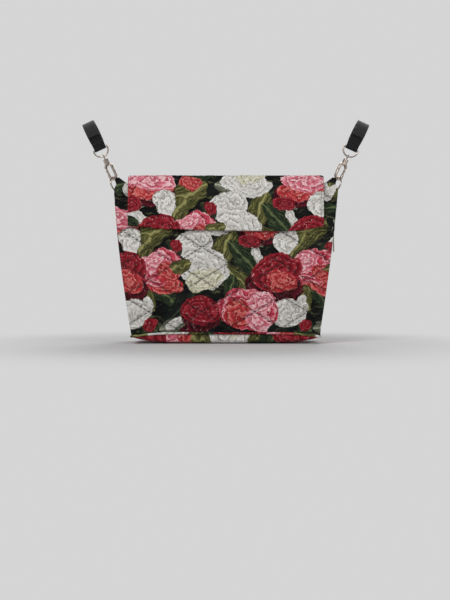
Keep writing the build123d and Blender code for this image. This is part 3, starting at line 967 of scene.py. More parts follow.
def panel_point(side, rise, facing, fullness, full_top, top_at):
    """A point of the front (facing -1) or back (1) panel; side and rise run from -1 to 1."""
    end = -1 if side < 0 else 1
    share = (rise + 1) / 2
    low = seam_line(side)
    top = top_at(side * seam_width(end, back_high.z), end)
    up = low + (top - low) * share
    across = side * seam_width(end, up)
    out = body_depth(up)
    out += fullness * (1 - abs(side) ** 2.6) * swell(up, seam_height - 0.02, full_top)
    pad = min(quilt_distance(across, up) / (0.42 * line_spacing), 1.0)
    edge_fade = min((1 - abs(side)) * 9, 1.0) * min(share * 12, 1.0) * min((1 - share) * 16, 1.0)
    puff = quilt_puff * (1 - (1 - pad) ** 2) * edge_fade
    if facing < 0:
        aside = math.hypot(abs(across) - magnet_place[0], up - magnet_place[1])
        puff *= min(max(aside / magnet_radius - 1.1, 0.0), 1.0)
    return Vector((across, facing * (out + puff), up))


def front_place(side, rise):
    return panel_point(side, rise, -1, 0.0075, 0.225, front_top)


def back_place(side, rise):
    return panel_point(-side, rise, 1, 0.0040, 0.300, back_top)


def front_cloth(side, rise):
    """A point's place on the cloth: across from the middle, up from the ground."""
    point = front_place(side, rise)
    return point.x, point.z


def back_cloth(side, rise):
    point = back_place(side, rise)
    return point.x, point.z


for name, place, cloth_place, node in (
    ("quilted_front", front_place, front_cloth, "front_panel"),
    ("quilted_back", back_place, back_cloth, "back_panel"),
):
    panel = cloth_grid(name, 150, 104, place, cloth_place, [quilted_cloth, lining_cloth])
    stitched = [
        vert.index
        for vert in panel.data.vertices
        if quilt_distance(vert.co.x, vert.co.z) < 0.0017
    ]
    relax(panel, edge_points(panel) + stitched, 0.05, 1.2, frames=14, reach=0.0035)
    thicken(panel, panel_wall * 0.8)
    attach(panel, "bag")
    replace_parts(panel, node)
    print(name, "faces", len(panel.data.polygons))

# %% [markdown]
# Each gusset bulges between its seams, except where the zip holds it flat. Its top has a hem.

# %% Gussets
zip_low, zip_high = (Vector(corner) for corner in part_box("left_zip_teeth"))
zip_height = (zip_low.z + zip_high.z) / 2
zip_half = (zip_high.y - zip_low.y) / 2
tape_low, tape_high = (Vector(corner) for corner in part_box("left_zip_tape"))
tape_half = (tape_high.y - tape_low.y) / 2
tape_rise = (tape_high.z - tape_low.z) / 2
hem_height = 0.009


def step_down(value, full, none):
    """1 up to full, 0 from none on, smooth between."""
    share = min(max((value - full) / (none - full), 0.0), 1.0)
    return 1 - share * share * (3 - 2 * share)


def zip_sink(along, up):
    """1 where the zip and its hanging pull keep the gusset flat, 0 away from them."""
    beside = step_down(abs(along), 0.0405, 0.0475)
    flat_rise = tape_rise + (0.001 if up > zip_height else 0.035)
    return beside * step_down(abs(up - zip_height), flat_rise, flat_rise + 0.021)


def gusset_point(end, side, rise, lift=0.0):
    """A point of the gusset at one end; side runs from its front seam to its back one."""
    low = seam_line(1)
    up = low + (gusset_high.z - low) * (rise + 1) / 2
    along = side * (body_depth(up) - 0.0022)
    crown = 1 - abs(side) ** 4
    seam = seam_width(end, up) - 0.0006
    full = body_width(up) + side_bulge(end, up)
    out = seam + (full - seam) * crown
    sink = zip_sink(along, up)
    out += (body_width(up) - 0.0006 - out) * sink
    ripple = noise.noise(Vector((along * 30, up * 22, end * 5.0)))
    out += 0.0011 * ripple * crown * (1 - sink)
    if up > gusset_high.z - hem_height:
        out += 0.0007
    return Vector((end * (out + lift), end * along, up))


for name, end in (("left", -1), ("right", 1)):
    gusset = cloth_grid(
        f"{name}_soft_gusset",
        56,
        120,
        lambda side, rise, end=end: gusset_point(end, side, rise),
        lambda side, rise, end=end: (0.05 * end + side * 0.05, 0.02 + (rise + 1) * 0.131),
        [printed_cloth, lining_cloth],
    )
    thicken(gusset, panel_wall * 0.75)
    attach(gusset, "bag")
    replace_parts(gusset, f"{name}_gusset")
    print(gusset.name, "faces", len(gusset.data.polygons))

# %% [markdown]
# The base is one padded cloth that hangs from the seam all round, flat where it rests. A cord
# covered in the same cloth is sewn into the seam.

# %% Base and piping
base_end = -base_low.x
flat_half = 0.115


def base_floor(across):
    """The height of the base's underside: it sags from its ends to the middle."""
    if across < flat_half:
        return 0.0003 + 0.0016 * (across / flat_half) ** 2
    return 0.0019 + (0.010 - 0.0019) * ((across - flat_half) / (base_end - flat_half)) ** 1.6


def base_place(side, around):
    """A point of the base; around runs from the front seam under the bag to the back seam."""
    across = -side * base_end
    seam = seam_line(side)
    wall = (seam - base_floor(abs(across))) * math.sqrt(max(1 - abs(side) ** 26, 0.0))
    turn = around * math.pi / 2
    depth = body_depth(seam) - 0.0006
    along = depth * math.copysign(abs(math.sin(turn)) ** (1 / 3), turn)
    stitched = min(abs(abs(across) - 0.040) / 0.004, 1.0)
    dent = 0.0008 * (1 - stitched) * abs(math.cos(turn)) ** 0.2
    up = seam - wall * abs(math.cos(turn)) ** (1 / 3) + dent
    return Vector((across, along, up))


def base_cloth(side, around):
    point = base_place(side, around)
    return point.x - 0.037, 0.200 + point.y - 0.4 * abs(point.z)


soft_base = cloth_grid(
    "soft_base", 110, 60, base_place, base_cloth, [printed_cloth, lining_cloth]
)
thicken(soft_base, 0.0030)
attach(soft_base, "bag")
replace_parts(soft_base, "base_panel")


def rounded_loop(half_x, half_y, radius, share):
    """A point on a rounded rectangle at a share of its length, from the middle of the front."""
    straight_x, straight_y = half_x - radius, half_y - radius
    bend = math.pi * radius / 2
    distance = (share % 1.0) * (4 * straight_x + 4 * straight_y + 4 * bend)
    runs = (
        (straight_x, (1, 0), (0, -half_y), (straight_x, -straight_y), -90),
        (2 * straight_y, (0, 1), (half_x, -straight_y), (straight_x, straight_y), 0),
        (2 * straight_x, (-1, 0), (straight_x, half_y), (-straight_x, straight_y), 90),
        (2 * straight_y, (0, -1), (-half_x, straight_y), (-straight_x, -straight_y), 180),
    )
    for run, heading, start, centre, first in runs:
        if distance <= run:
            return start[0] + heading[0] * distance, start[1] + heading[1] * distance
        distance -= run
        if distance <= bend:
            turned = math.radians(first) + distance / radius
            return centre[0] + radius * math.cos(turned), centre[1] + radius * math.sin(turned)
        distance -= bend
    return -straight_x + distance, -half_y


def piping_line(share):
    """The piping's centre at a share of its way round."""
    across, along = rounded_loop(base_end + 0.0012, -front_low.y + 0.0008, 0.008, share)
    side = max(min(across / base_end, 1.0), -1.0)
    return Vector((across, along, seam_line(side)))


def tube_place(line, radius, closed):
    """place(s, t) for a tube round a line: s along it, t around it."""

    def place(side, turn):
        share = (side + 1) / 2
        step = 0.0004
        if closed:
            before, after = line(share - step), line(share + step)
        else:
            before, after = line(max(share - step, 0.0)), line(min(share + step, 1.0))
        forward = (after - before).normalized()
        across = forward.cross(Vector((0.03, 0.05, 1.0))).normalized()
        lift = across.cross(forward)
        angle = math.pi * turn
        return line(share) + radius * (math.cos(angle) * across - math.sin(angle) * lift)

    return place


piping = cloth_grid(
    "soft_piping",
    420,
    12,
    tube_place(piping_line, 0.0021, closed=True),
    lambda side, turn: (1.5 * repeat_width * side - 0.0725, 0.140 + turn * 0.006),
    [printed_cloth],
    closed=True,
)
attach(piping, "bag")
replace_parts(piping, "base_piping")
print("base faces", len(soft_base.data.polygons), "piping faces", len(piping.data.polygons))

# %% [markdown]
# ## Flap
# The flap is one padded cloth: sewn to the back panel, over the opening, round the fold and down
# the front. Its section is a line through a few corners, rounded by arcs. It is built in two
# pieces that meet on top, between its two bends: the back hinge and the fold.

# %% Rounded lines


def rounded_line(corners, radii, steps=10):
    """Points along a flat line through corners, with an arc of the given radius at each bend."""
    line = [Vector(corners[0])]
    for before, corner, after, radius in zip(corners, corners[1:], corners[2:], radii):
        corner = Vector(corner)
        arrive = (corner - Vector(before)).normalized()
        leave = (Vector(after) - corner).normalized()
        turned = arrive.angle(leave)
        reach = radius * math.tan(turned / 2)
        start, end = corner - arrive * reach, corner + leave * reach
        for step in range(steps + 1):
            share = step / steps
            bent = start.lerp(corner, share).lerp(corner.lerp(end, share), share)
            line.append(bent)
    line.append(Vector(corners[-1]))
    return line


def line_lengths(line):
    """The distance along a line to each of its points."""
    lengths = [0.0]
    for before, after in zip(line, line[1:]):
        lengths.append(lengths[-1] + (after - before).length)
    return lengths


def line_point(line, lengths, distance):
    """The point at a distance along a line, and the unit vector along it there."""
    number = 1
    while number < len(line) - 1 and lengths[number] < distance:
        number += 1
    run = lengths[number] - lengths[number - 1]
    share = (distance - lengths[number - 1]) / run
    heading = (line[number] - line[number - 1]).normalized()
    return line[number - 1].lerp(line[number], share), heading


# %% The flap's section and outline
flap_top_low, flap_top_high = (Vector(corner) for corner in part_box("flap_top"))
flap_wall = 0.0046
flap_stand = 0.0115
flap_foot = 0.190
flap_top_z = flap_top_high.z + 0.0004
flap_section = rounded_line(
    [
        (body_depth(0.287) + 0.0044, 0.287),
        (body_depth(0.300) + 0.0046, flap_top_z),
        (-(body_depth(flap_top_z) + flap_stand), flap_top_z),
        (-(body_depth(flap_foot) + flap_stand), flap_foot),
    ],
    [0.0062, 0.0085],
)
flap_lengths = line_lengths(flap_section)
top_middle = next(
    length for point, length in zip(flap_section, flap_lengths) if point.x < -0.02
) - 0.030
fold_length = next(
    length for point, length in zip(flap_section, flap_lengths) if point.y < 0.300 and length > 0.05
)
print("flap section", round(flap_lengths[-1], 4), "fold at", round(fold_length, 4))


def flap_half(distance):
    """Half of the flap's width at a distance along its section."""
    share = min(max((distance - fold_length) / 0.016, 0.0), 1.0)
    return 0.1790 + 0.0045 * share


def hem_height_at(across):
    """The height of the flap's lower edge, which dips to the right of the middle."""
    if across < 0.07:
        return 0.2055 + 0.0085 * (abs(across - 0.07) / 0.23) ** 2.2
    return 0.2055 + 0.0115 * ((across - 0.07) / 0.115) ** 3


def flap_end(across):
    """How far along the section the hem lies."""
    return flap_lengths[-1] - (hem_height_at(across) - flap_foot)


def flap_point(across_share, distance, sunk=0.0):
    """A point of the flap's outer face, lowered by sunk towards the bag."""
    spot, heading = line_point(flap_section, flap_lengths, distance)
    out = Vector((-heading.y, heading.x))
    if out.dot(spot - Vector((0, 0.26))) < 0:
        out = -out
    across = across_share * flap_half(distance)
    hang = max(distance - fold_length, 0.0) / 0.09
    wave = noise.noise(Vector((across * 14, distance * 9, 3.0)))
    ruffle = noise.noise(Vector((across * 26, 7.0, 0.5)))
    rise = 0.0009 * wave * min(hang * 3 + 0.4, 1.0) + 0.0011 * ruffle * hang**2
    edge = min(flap_half(distance) - abs(across), flap_end(across) - distance, distance)
    rounding = 0.0017 * max(1 - edge / 0.0045, 0.0) ** 2
    place = spot + out * (rise - rounding - sunk)
    return Vector((across, place.x, place.y))


def flap_cloth(across_share, distance):
    """The print runs on over the fold; it isn't matched to the front's."""
    across = across_share * flap_half(distance)
    return across - 0.063, flap_foot - 0.0685 + flap_lengths[-1] - distance


# %% The two flap pieces
crossing_length = top_middle


def back_distance(side, run):
    return crossing_length * (run + 1) / 2


def front_distance(side, run):
    end = flap_end(side * flap_half(flap_lengths[-1]))
    return crossing_length + (end - crossing_length) * (run + 1) / 2


flap_pieces = (
    (
        "flap_cover",
        40,
        back_distance,
        "flap_top",
        ("bag", "flap_lid"),
        ((0, 0.046, 0.299), (0, 0.036, 0.308)),
    ),
    (
        "flap_drop_cloth",
        84,
        front_distance,
        "flap_front",
        ("flap_lid", "flap_drop"),
        ((0, -0.045, 0.306), (0, -0.058, 0.290)),
    ),
)
for name, rows, distance_at, node, bodies, bend in flap_pieces:
    piece = cloth_grid(
        name,
        130,
        rows,
        lambda side, run, at=distance_at: flap_point(side, at(side, run)),
        lambda side, run, at=distance_at: flap_cloth(side, at(side, run)),
        [printed_cloth, lining_cloth],
        turned=True,
    )
    rim = edge_points(piece)
    points = piece.data.vertices
    if name == "flap_drop_cloth":
        still = [vert.index for vert in points if vert.co.y > -0.050]
        relax(piece, sorted(set(rim + still)), 0.035, 0.8, frames=14, reach=0.0022)
    middle_rim = {index for index in rim if abs(points[index].co.y + 0.0) < 0.02}
    thin = [
        index
        for index in rim
        if index not in middle_rim or abs(points[index].co.x) > 0.1785
    ]
    thicken(piece, flap_wall, thin=thin)
    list(bodies)
    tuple(bend[0])
    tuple(bend[1])
    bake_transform(piece)
    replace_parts(piece, node)
    print(name, "faces", len(piece.data.polygons))

# %% [markdown]
# ## Inside the bag
# The lining is a dark sleeve with a floor, open at the top. A slip pocket is sewn to its back.

# %% Lining and pockets
lining_low, lining_high = (Vector(corner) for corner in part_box("lining"))
lining_floor = lining_low.z + 0.0006
lining_round = 0.012
floor_share = 0.3


def lining_halves(up):
    """Half of the lining's width and depth at a height; it meets the gussets at the top."""
    loose = (side_bulge(-1, up) + side_bulge(1, up)) / 2
    opened = 0.8 * loose * (1 - step_down(up, 0.236, 0.268))
    return body_width(up) - panel_wall - 0.0024 + opened, body_depth(up) - panel_wall - 0.0008


def lining_point(around, rise):
    """A point of the lining; rise runs from the middle of its floor to its top edge."""
    share = (rise + 1) / 2
    if share < floor_share:
        spread, up = max(share / floor_share, 0.004), lining_floor
    else:
        spread = 1.0
        up = lining_floor
        up += (lining_high.z - 0.0005 - lining_floor) * (share - floor_share) / (1 - floor_share)
    half_x, half_y = lining_halves(up)
    across, along = rounded_loop(half_x, half_y, lining_round, (around + 1) / 2)
    crease = noise.noise(Vector((across * 20, along * 20, up * 14)))
    inward = 1 - 0.006 * abs(crease) * min((up - lining_floor) * 20, 1.0)
    lift = 0.0008 * abs(crease) if spread < 1.0 else 0.0
    return Vector((across * spread * inward, along * spread * inward, up + lift))


lining_girth = 4 * (lining_high.x + lining_high.y) - (8 - 2 * math.pi) * lining_round
lining_wall = lining_high.z - lining_floor
lining = cloth_grid(
    "soft_lining",
    200,
    56,
    lining_point,
    lambda around, rise: (around * lining_girth / 2, rise * (lining_wall + 0.055) / 2),
    [lining_cloth],
    closed=True,
)
thicken(lining, 0.0007)
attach(lining, "bag")
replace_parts(lining, "lining")

slip_low, slip_high = (Vector(corner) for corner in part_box("inner_pocket"))
slip_size = (slip_high.x - slip_low.x, slip_high.z - slip_low.z)


def slip_point(side, rise):
    """A point of the slip pocket, whose top edge gapes a little from the lining."""
    share = (rise + 1) / 2
    up = slip_low.z + slip_size[1] * share
    wall = body_depth(up) - panel_wall - 0.0020
    gape = 0.0045 * share**3 * (1 - side**4)
    sag = 0.003 * share**4 * (1 - side**2)
    bound = 0.0006 if share > 0.93 else 0.0
    return Vector((-side * slip_size[0] / 2, wall - gape - bound, up - sag))


slip_pocket = cloth_grid(
    "soft_slip_pocket",
    60,
    40,
    slip_point,
    lambda side, rise: (side * slip_size[0] / 2, rise * slip_size[1] / 2),
    [lining_cloth],
    turned=True,
)
thicken(slip_pocket, 0.0009)
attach(slip_pocket, "bag")
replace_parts(slip_pocket, "inner_pocket")

for name, end in (("left", -1), ("right", 1)):
    pouch_low, pouch_high = (Vector(corner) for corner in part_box(f"{name}_side_pocket"))
    pouch_size = (pouch_high.y - pouch_low.y, pouch_high.z - pouch_low.z)

    def pouch_point(side, rise, end=end, size=pouch_size, top=pouch_high.z):
        """A point of a side pouch; its lower corners are rounded."""
        share = (rise + 1) / 2
        narrowing = 1 - 0.16 * max(1 - share * 7, 0.0) ** 2
        up = top - size[1] * (1 - share) - 0.002
        along = end * side * narrowing * size[0] / 2
        return Vector((end * (body_width(up) - panel_wall - 0.0004), along, up))

    pouch = cloth_grid(
        f"{name}_soft_pouch",
        20,
        30,
        pouch_point,
        lambda side, rise, size=pouch_size: (side * size[0] / 2, rise * size[1] / 2),
        [lining_cloth],
    )
    thicken(pouch, 0.0010)
    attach(pouch, "bag")
    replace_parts(pouch, f"{name}_side_pocket")
print("lining faces", len(lining.data.polygons), "sheet", round(lining_girth, 3))

# %% [markdown]
# ## Zips
# Each zip has two woven tapes and a nylon coil: two helices whose turns lie side by side.

# %% Zips
zip_slope = (body_width(0.25) - body_width(0.15)) / 0.1
zip_out = Vector((1, 0, -zip_slope)).normalized()
zip_up = Vector((zip_slope, 0, 1)).normalized()
coil_half = 0.0025
coil_turns = 56
coil_lift = 0.0019


def zip_point(end, along, rise, lift):
    """A point on the zip's own axes: along it, up the slope and outwards."""
    place = Vector((body_width(zip_height), 0, zip_height)) + rise * zip_up + lift * zip_out
    return Vector((end * place.x, along, place.z))


def tape_point(end, side, rise):
    """A point of the tapes, which meet under the coil and turn up at their ends."""
    away = rise * (tape_rise - 0.001)
    along = end * side * tape_half
    turned_up = 0.0030 * (1 - step_down(abs(along), 0.0385, tape_half))
    fold = 0.0004 * step_down(abs(abs(away) - 0.0031), 0.0, 0.0008)
    return zip_point(end, along, away, 0.0007 + turned_up + fold)


def coil_line(end, strip):
    """The centre line of one helix of a coil, flat in section."""

    def line(share):
        turn = 2 * math.pi * (coil_turns * share + strip / 4)
        along = (2 * share - 1) * (zip_half - 0.001)
        rise = strip * coil_half * 0.42 + coil_half * 0.56 * math.cos(turn)
        return zip_point(end, along, rise, coil_lift + 0.0006 * math.sin(turn))

    return line


for name, end in (("left", -1), ("right", 1)):
    tape = cloth_grid(
        f"{name}_soft_tape",
        60,
        40,
        lambda side, rise, end=end: tape_point(end, side, rise),
        lambda side, rise: (side * tape_half, rise * tape_rise),
        [tape_cloth],
    )
    thicken(tape, 0.0009)
    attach(tape, "bag")
    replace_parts(tape, f"{name}_zip_tape")
    for strip, part in ((-1, "lower"), (1, "upper")):
        coil = cloth_grid(
            f"{name}_{part}_coil",
            coil_turns * 12,
            6,
            tube_place(coil_line(end, strip), 0.00027, closed=False),
            lambda side, turn: (side * zip_half, turn * 0.001),
            [coil_nylon],
            closed=True,
        )
        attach(coil, "bag")
        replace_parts(coil, f"{name}_zip_teeth")
print("coil faces", len(coil.data.polygons))

# %% [markdown]
# ## Webbing
# Each tab is one length of webbing, folded round the bar of its ring and sewn into the cut
# corner of the back panel. Each handlebar strap is a band that wraps the upper ring's bar and
# the handlebar, closed by a hook-and-loop end.

# %% Webbing tabs and straps
joint_named = {joint["name"]: joint for joint in frame["joints"]}
webbing_half = 0.0118
webbing_wall = 0.0014
strap_low, strap_high = (Vector(corner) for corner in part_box("left_handlebar_strap"))


def webbing_map(length):
    """A strip's place on its own cloth: across it and along it."""
    return lambda side, run: (side * webbing_half, run * length / 2)


def tab_maker(end, joint):
    """place(side, run) for a doubled tab, from its front layer round the bar to its back one."""
    bar = Vector(joint["pos_m"])
    down = Vector(joint["axis"]) * (-1 if joint["axis"][2] > 0 else 1)
    outwards = Vector((-down.z, 0, down.x)) * end
    top = Vector((end * (body_width(back_high.z) - corner_cut - 0.001), bar.y, back_high.z - 0.001))
    low = Vector((end * (body_width(0.283) - 0.001), bar.y, 0.284))
    inward = Vector((-0.006 * end, 0, -0.006))
    bend = 0.00262
    neck = 0.006
    section = rounded_line([(-0.030, -0.00085), (-neck, -0.00085), (-0.0012, -bend)], [0.012])
    arc = [
        Vector((bend * math.cos(turn), bend * math.sin(turn)))
        for turn in (math.radians(-115 + 230 * step / 24) for step in range(25))
    ]
    back_layer = [Vector((point.x, -point.y)) for point in reversed(section)]
    section = section[:-1] + arc + back_layer[1:]
    lengths = line_lengths(section)

    def place(side, run):
        spot, _ = line_point(section, lengths, lengths[-1] * (run + 1) / 2)
        at_bar = bar + down * (side * webbing_half)
        narrow = at_bar - outwards * neck
        corner = top.lerp(low, (side + 1) / 2) + inward
        if spot.x > -neck:
            point = at_bar + outwards * spot.x
        else:
            point = narrow.lerp(corner, (-spot.x - neck) / (0.030 - neck))
        return Vector((point.x, bar.y + spot.y, point.z))

    return place, lengths[-1]


def strap_axes(joint):
    """The centre and axes of a strap: towards the back, up the hanging line and across it."""
    across = Vector(joint["axis"])
    return Vector(joint["pos_m"]), Vector((0, 1, 0)), Vector((-across.z, 0, across.x)), across


bar_radius = 0.019
bar_distance = 0.031
band_radius = bar_radius + 0.0016
ring_bend = 0.00262


def strap_section():
    """The band's centre line: round the ring's bar, up the neck and round the handlebar."""
    small = [math.radians(123 + 294 * step / 24) for step in range(25)]
    large = [math.radians(-74 + 328 * step / 72) for step in range(73)]
    line = [Vector((ring_bend * math.cos(turn), ring_bend * math.sin(turn))) for turn in small]
    line += [Vector((0.0013, 0.0060)), Vector((0.0021, 0.0093))]
    line += [
        Vector((band_radius * math.cos(turn), bar_distance + band_radius * math.sin(turn)))
        for turn in large
    ]
    line += [Vector((-0.0021, 0.0093)), Vector((-0.0013, 0.0060)), line[0].copy()]
    return line


def strip_maker(joint, line):
    """place(side, run) for a strip that follows a line in the strap's plane."""
    centre, back, up, across = strap_axes(joint)
    lengths = line_lengths(line)

    def place(side, run):
        spot, _ = line_point(line, lengths, lengths[-1] * (run + 1) / 2)
        return centre + back * spot.x + up * spot.y + across * (side * webbing_half)

    return place, lengths[-1]


closure_radius = 0.0231
closure_line = []
for step in range(41):
    turn = math.radians(76 + 128 * step / 40)
    lifted = closure_radius + 0.0008 * max(step / 40 - 0.85, 0.0) / 0.15
    closure_line.append(
        Vector((lifted * math.cos(turn), bar_distance + lifted * math.sin(turn)))
    )

webbing_pieces = {}
for name, end in (("left", -1), ("right", 1)):
    swing, rock = joint_named[f"{name}_ring_swing"], joint_named[f"{name}_strap_rock"]
    rows = (
        ("tab", "webbing_tab", "bag", tab_maker(end, swing), webbing_wall, 100, webbing_cloth),
        (
            "strap",
            "handlebar_strap",
            f"{name}_strap",
            strip_maker(rock, strap_section()),
            0.0026,
            260,
            webbing_cloth,
        ),
        (
            "hook_and_loop",
            "strap_closure",
            f"{name}_strap",
            strip_maker(rock, closure_line),
            0.0016,
            60,
            fuzzy_cloth,
        ),
    )
    for part, node, body, (place, length), wall, steps, material in rows:
        strip = cloth_grid(
            f"{name}_soft_{part}",
            10,
            steps,
            place,
            webbing_map(length),
            [material],
            closed=part == "strap",
        )
        thicken(strip, wall, offset=0)
        edges = strip.modifiers.new("edges", "BEVEL")
        edges.width = 0.0004
        edges.segments = 2
        edges.limit_method = "ANGLE"
        edges.angle_limit = math.radians(60)
        settle(strip)
        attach(strip, body)
        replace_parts(strip, f"{name}_{node}")
        webbing_pieces[strip.name] = place
        print(strip.name, "cut", round(length * 1000), "mm, faces", len(strip.data.polygons))

# %% [markdown]
# ## Stitching rows
# Hems, tabs, straps, tapes and pockets are sewn with rows of thread. Every stitch is a small
# rounded bead laid along a line, so the rows catch the light as thread does.

# %% Stitching rows
thread_cloth = cloth_material("thread_cloth", 0.6, 0.2, 0.0001, plain_weave(paint(46, 43, 42), 900))
pale_thread = cloth_material("pale_thread_cloth", 0.6, 0.2, 0.0001, plain_weave(paint(96, 94, 92), 900))
stitch_length = 0.0034
thread_radius = 0.00034


def stitch_row(name, rows, material):
    """One mesh of stitches. Each row is (line, outward), two functions of a share from 0 to 1."""
    sewn = bmesh.new()
    for line, outward in rows:
        samples = [line(number / 40) for number in range(41)]
        length = sum((after - before).length for before, after in zip(samples, samples[1:]))
        count = max(round(length / stitch_length), 1)
        for number in range(count):
            start, end = line((number + 0.14) / count), line((number + 0.86) / count)
            forward = (end - start).normalized()
            across = forward.cross(outward((number + 0.5) / count)).normalized()
            lift = across.cross(forward)
            half = (end - start).length / 2
            axes = Matrix((forward * half, across * thread_radius, -lift * thread_radius))
            place = Matrix.Translation((start + end) / 2) @ axes.transposed().to_4x4()
            bmesh.ops.create_icosphere(sewn, subdivisions=1, radius=1.0, matrix=place)
    sewn.loops.layers.uv.new("cloth")
    bmesh.ops.recalc_face_normals(sewn, faces=sewn.faces)
    for face in sewn.faces:
        face.smooth = True
    mesh = bpy.data.meshes.new(name)
    sewn.to_mesh(mesh)
    sewn.free()
    print(name, "faces", len(mesh.polygons))
    return add_object(name, mesh, [material])


def flap_out(distance):
    """The direction out of the flap at a distance along its section."""
    before, after = flap_point(0, distance - 0.001), flap_point(0, distance + 0.001)
    return Vector((1, 0, 0)).cross(after - before).normalized()


def flap_side_row(end, first, last):
    """A row 5 mm inside the flap's side, between two distances."""

    def line(share):
        distance = first + (last - first) * share
        return flap_point(end * (1 - 0.005 / flap_half(distance)), distance, sunk=-0.0001)

    return line, lambda share: flap_out(first + (last - first) * share)


def flap_hem_row(share):
    """A row 5.5 mm above the flap's hem."""
    across = (2 * share - 1) * (flap_half(flap_lengths[-1]) - 0.005)
    distance = flap_end(across) - 0.0055
    return flap_point(across / flap_half(distance), distance, sunk=-0.0001)


corner_distance = flap_end(flap_half(flap_lengths[-1])) - 0.0055
left_distance = flap_end(-flap_half(flap_lengths[-1])) - 0.0055
drop_rows = [
    (flap_hem_row, lambda share: flap_out(left_distance)),
    flap_side_row(-1, crossing_length, left_distance),
    flap_side_row(1, crossing_length, corner_distance),
]
cover_rows = [
    flap_side_row(-1, 0.005, crossing_length),
    flap_side_row(1, 0.005, crossing_length),
    (
        lambda share: flap_point((2 * share - 1) * 0.97, 0.005, sunk=-0.0001),
        lambda share: flap_out(0.005),
    ),
]
for name, rows, (_, _, _, _, bodies, bend) in (
    ("flap_cover_stitches", cover_rows, flap_pieces[0]),
    ("flap_drop_stitches", drop_rows, flap_pieces[1]),
):
    row = stitch_row(name, rows, thread_cloth)
    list(bodies)
    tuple(bend[0])
    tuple(bend[1])
    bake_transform(row)

for name, end in (("left", -1), ("right", 1)):
    hem_rise = 2 * (gusset_high.z - 0.0072 - seam_line(1)) / (gusset_high.z - seam_line(1)) - 1
    gusset_rows = [
        (
            lambda share, end=end, rise=hem_rise: gusset_point(
                end, (2 * share - 1) * 0.93, rise, lift=0.0001
            ),
            lambda share, end=end: Vector((end, 0, 0)),
        )
    ]
    for away in (-0.78, 0.78):
        gusset_rows.append(
            (
                lambda share, end=end, away=away: tape_point(end, (2 * share - 1) * 0.94, away)
                + Vector((end * 0.0001, 0, 0)),
                lambda share, end=end: Vector((end, 0, 0)),
            )
        )
    tab_place, tab_length = tab_maker(end, joint_named[f"{name}_ring_swing"])
    for layer in (-1, 1):
        sewn_face = Vector((0, layer * (webbing_wall / 2 + 0.0001), 0))
        for first, last in (
            ((-0.78, 0.009), (-0.78, 0.019)),
            ((0.78, 0.009), (0.78, 0.019)),
            ((-0.78, 0.009), (0.78, 0.009)),
            ((-0.78, 0.019), (0.78, 0.019)),
            ((-0.78, 0.009), (0.78, 0.019)),
            ((0.78, 0.009), (-0.78, 0.019)),
        ):

            def tab_line(share, first=first, last=last, layer=layer, face=sewn_face):
                side = first[0] + (last[0] - first[0]) * share
                distance = first[1] + (last[1] - first[1]) * share
                run = layer * (1 - 2 * distance / tab_length)
                return tab_place(side, run) + face

            gusset_rows.append((tab_line, lambda share, layer=layer: Vector((0, layer, 0))))
    row = stitch_row(f"{name}_body_stitches", gusset_rows, pale_thread)
    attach(row, "bag")

    rock = joint_named[f"{name}_strap_rock"]
    centre, back, up, across = strap_axes(rock)
    strap_rows = [
        (
            lambda share, face=face, rise=rise: centre
            + back * (face * 0.0030)
            + up * rise
            + across * ((2 * share - 1) * 0.0098),
            lambda share, face=face: back * face,
        )
        for face in (-1, 1)
        for rise in (0.0060, 0.0082)
    ]
    closure_place, _ = strip_maker(rock, closure_line)
    middle = centre + up * bar_distance
    for side in (-0.84, 0.84):

        def closure_row(share, side=side, place=closure_place, middle=middle, across=across):
            point = place(side, (2 * share - 1) * 0.94)
            outward = point - middle
            outward -= across * outward.dot(across)
            return point + outward.normalized() * 0.0008

        def closure_out(share, side=side, place=closure_place, middle=middle, across=across):
            outward = place(side, (2 * share - 1) * 0.94) - middle
            return outward - across * outward.dot(across)

        strap_rows.append((closure_row, closure_out))
    row = stitch_row(f"{name}_strap_stitches", strap_rows, pale_thread)
    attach(row, f"{name}_strap")

slip_rows = [
    (lambda share, side=side: slip_point(side, 2 * share - 1), lambda share: Vector((0, -1, 0)))
    for side in (-0.97, 0.97)
]
slip_rows += [
    (
        lambda share, rise=rise: slip_point((2 * share - 1) * 0.97, rise),
        lambda share: Vector((0, -1, 0)),
    )
    for rise in (-0.96, 0.86)
]
row = stitch_row("slip_pocket_stitches", slip_rows, pale_thread)
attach(row, "bag")

# %% [markdown]
# ## Metal and other rigid parts
# The rings, hooks, gates, swivels and zip fittings are CAD parts. They are nickel plated: a warm
# mirror with a faint haze and fine scratches. The gate pins are nickel too; the board, springs and
# magnets get their own.

# %% Rigid materials


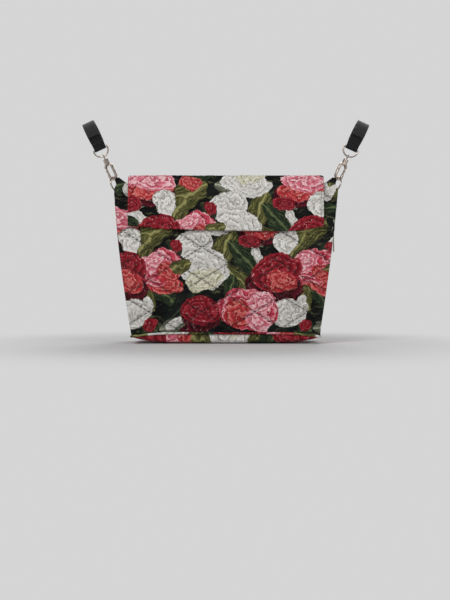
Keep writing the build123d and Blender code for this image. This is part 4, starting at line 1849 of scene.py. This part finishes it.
def rigid_material(name, colour, metallic, roughness, scratch, scratch_scale=900.0):
    """A material whose colour and roughness vary a little over the part, with fine scratches."""
    material = bpy.data.materials.new(name)
    material.use_nodes = True
    tree = material.node_tree
    shader = tree.nodes["Principled BSDF"]
    shader.inputs["Metallic"].default_value = metallic
    place = tree.nodes.new("ShaderNodeTexCoord").outputs["Object"]
    haze = noise_node(tree, place, 160.0, detail=3.0)
    dulled = tuple(0.72 * part for part in colour[:3]) + (1.0,)
    tree.links.new(
        mix_node(tree, "RGBA", smooth_step(tree, haze, 0.35, 0.7), colour, dulled),
        shader.inputs["Base Color"],
    )
    rough = math_node(tree, "MULTIPLY_ADD", haze, 0.5 * roughness, 0.75 * roughness)
    tree.links.new(rough, shader.inputs["Roughness"])
    stretched = vector_node(tree, "MULTIPLY", place, (1.0, 6.0, 2.5))
    marks = noise_node(tree, stretched, scratch_scale, detail=2.0)
    bump = tree.nodes.new("ShaderNodeBump")
    bump.inputs["Strength"].default_value = scratch
    bump.inputs["Distance"].default_value = 0.0001
    tree.links.new(marks, bump.inputs["Height"])
    tree.links.new(bump.outputs[0], shader.inputs["Normal"])
    return material


nickel = rigid_material("warm_nickel", paint(192, 178, 168), 1.0, 0.22, 0.25)
spring_steel = rigid_material("spring_steel", paint(170, 168, 166), 1.0, 0.3, 0.2)
magnet_steel = rigid_material("magnet_steel", paint(150, 152, 156), 1.0, 0.42, 0.3)
board_plastic = rigid_material("board_plastic", paint(44, 44, 46), 0.0, 0.6, 0.5)

finishes = {"base_board": board_plastic, "front_magnets": magnet_steel, "flap_magnets": magnet_steel}
for side_name in ("left", "right"):
    for node in (
        "bag_ring",
        "strap_ring",
        "snap_hook",
        "hook_gate",
        "gate_pin",
        "swivel_eye",
        "zip_slider",
        "zip_pull",
    ):
        finishes[f"{side_name}_{node}"] = nickel
    finishes[f"{side_name}_gate_spring"] = spring_steel
for node, material in finishes.items():
    mesh = frame["nodes"][node].data
    mesh.materials.clear()
    mesh.materials.append(material)
hidden = {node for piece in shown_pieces() for node in piece.get("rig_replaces", [])}
print("nodes without a finish", sorted(set(frame["nodes"]) - set(finishes) - hidden))
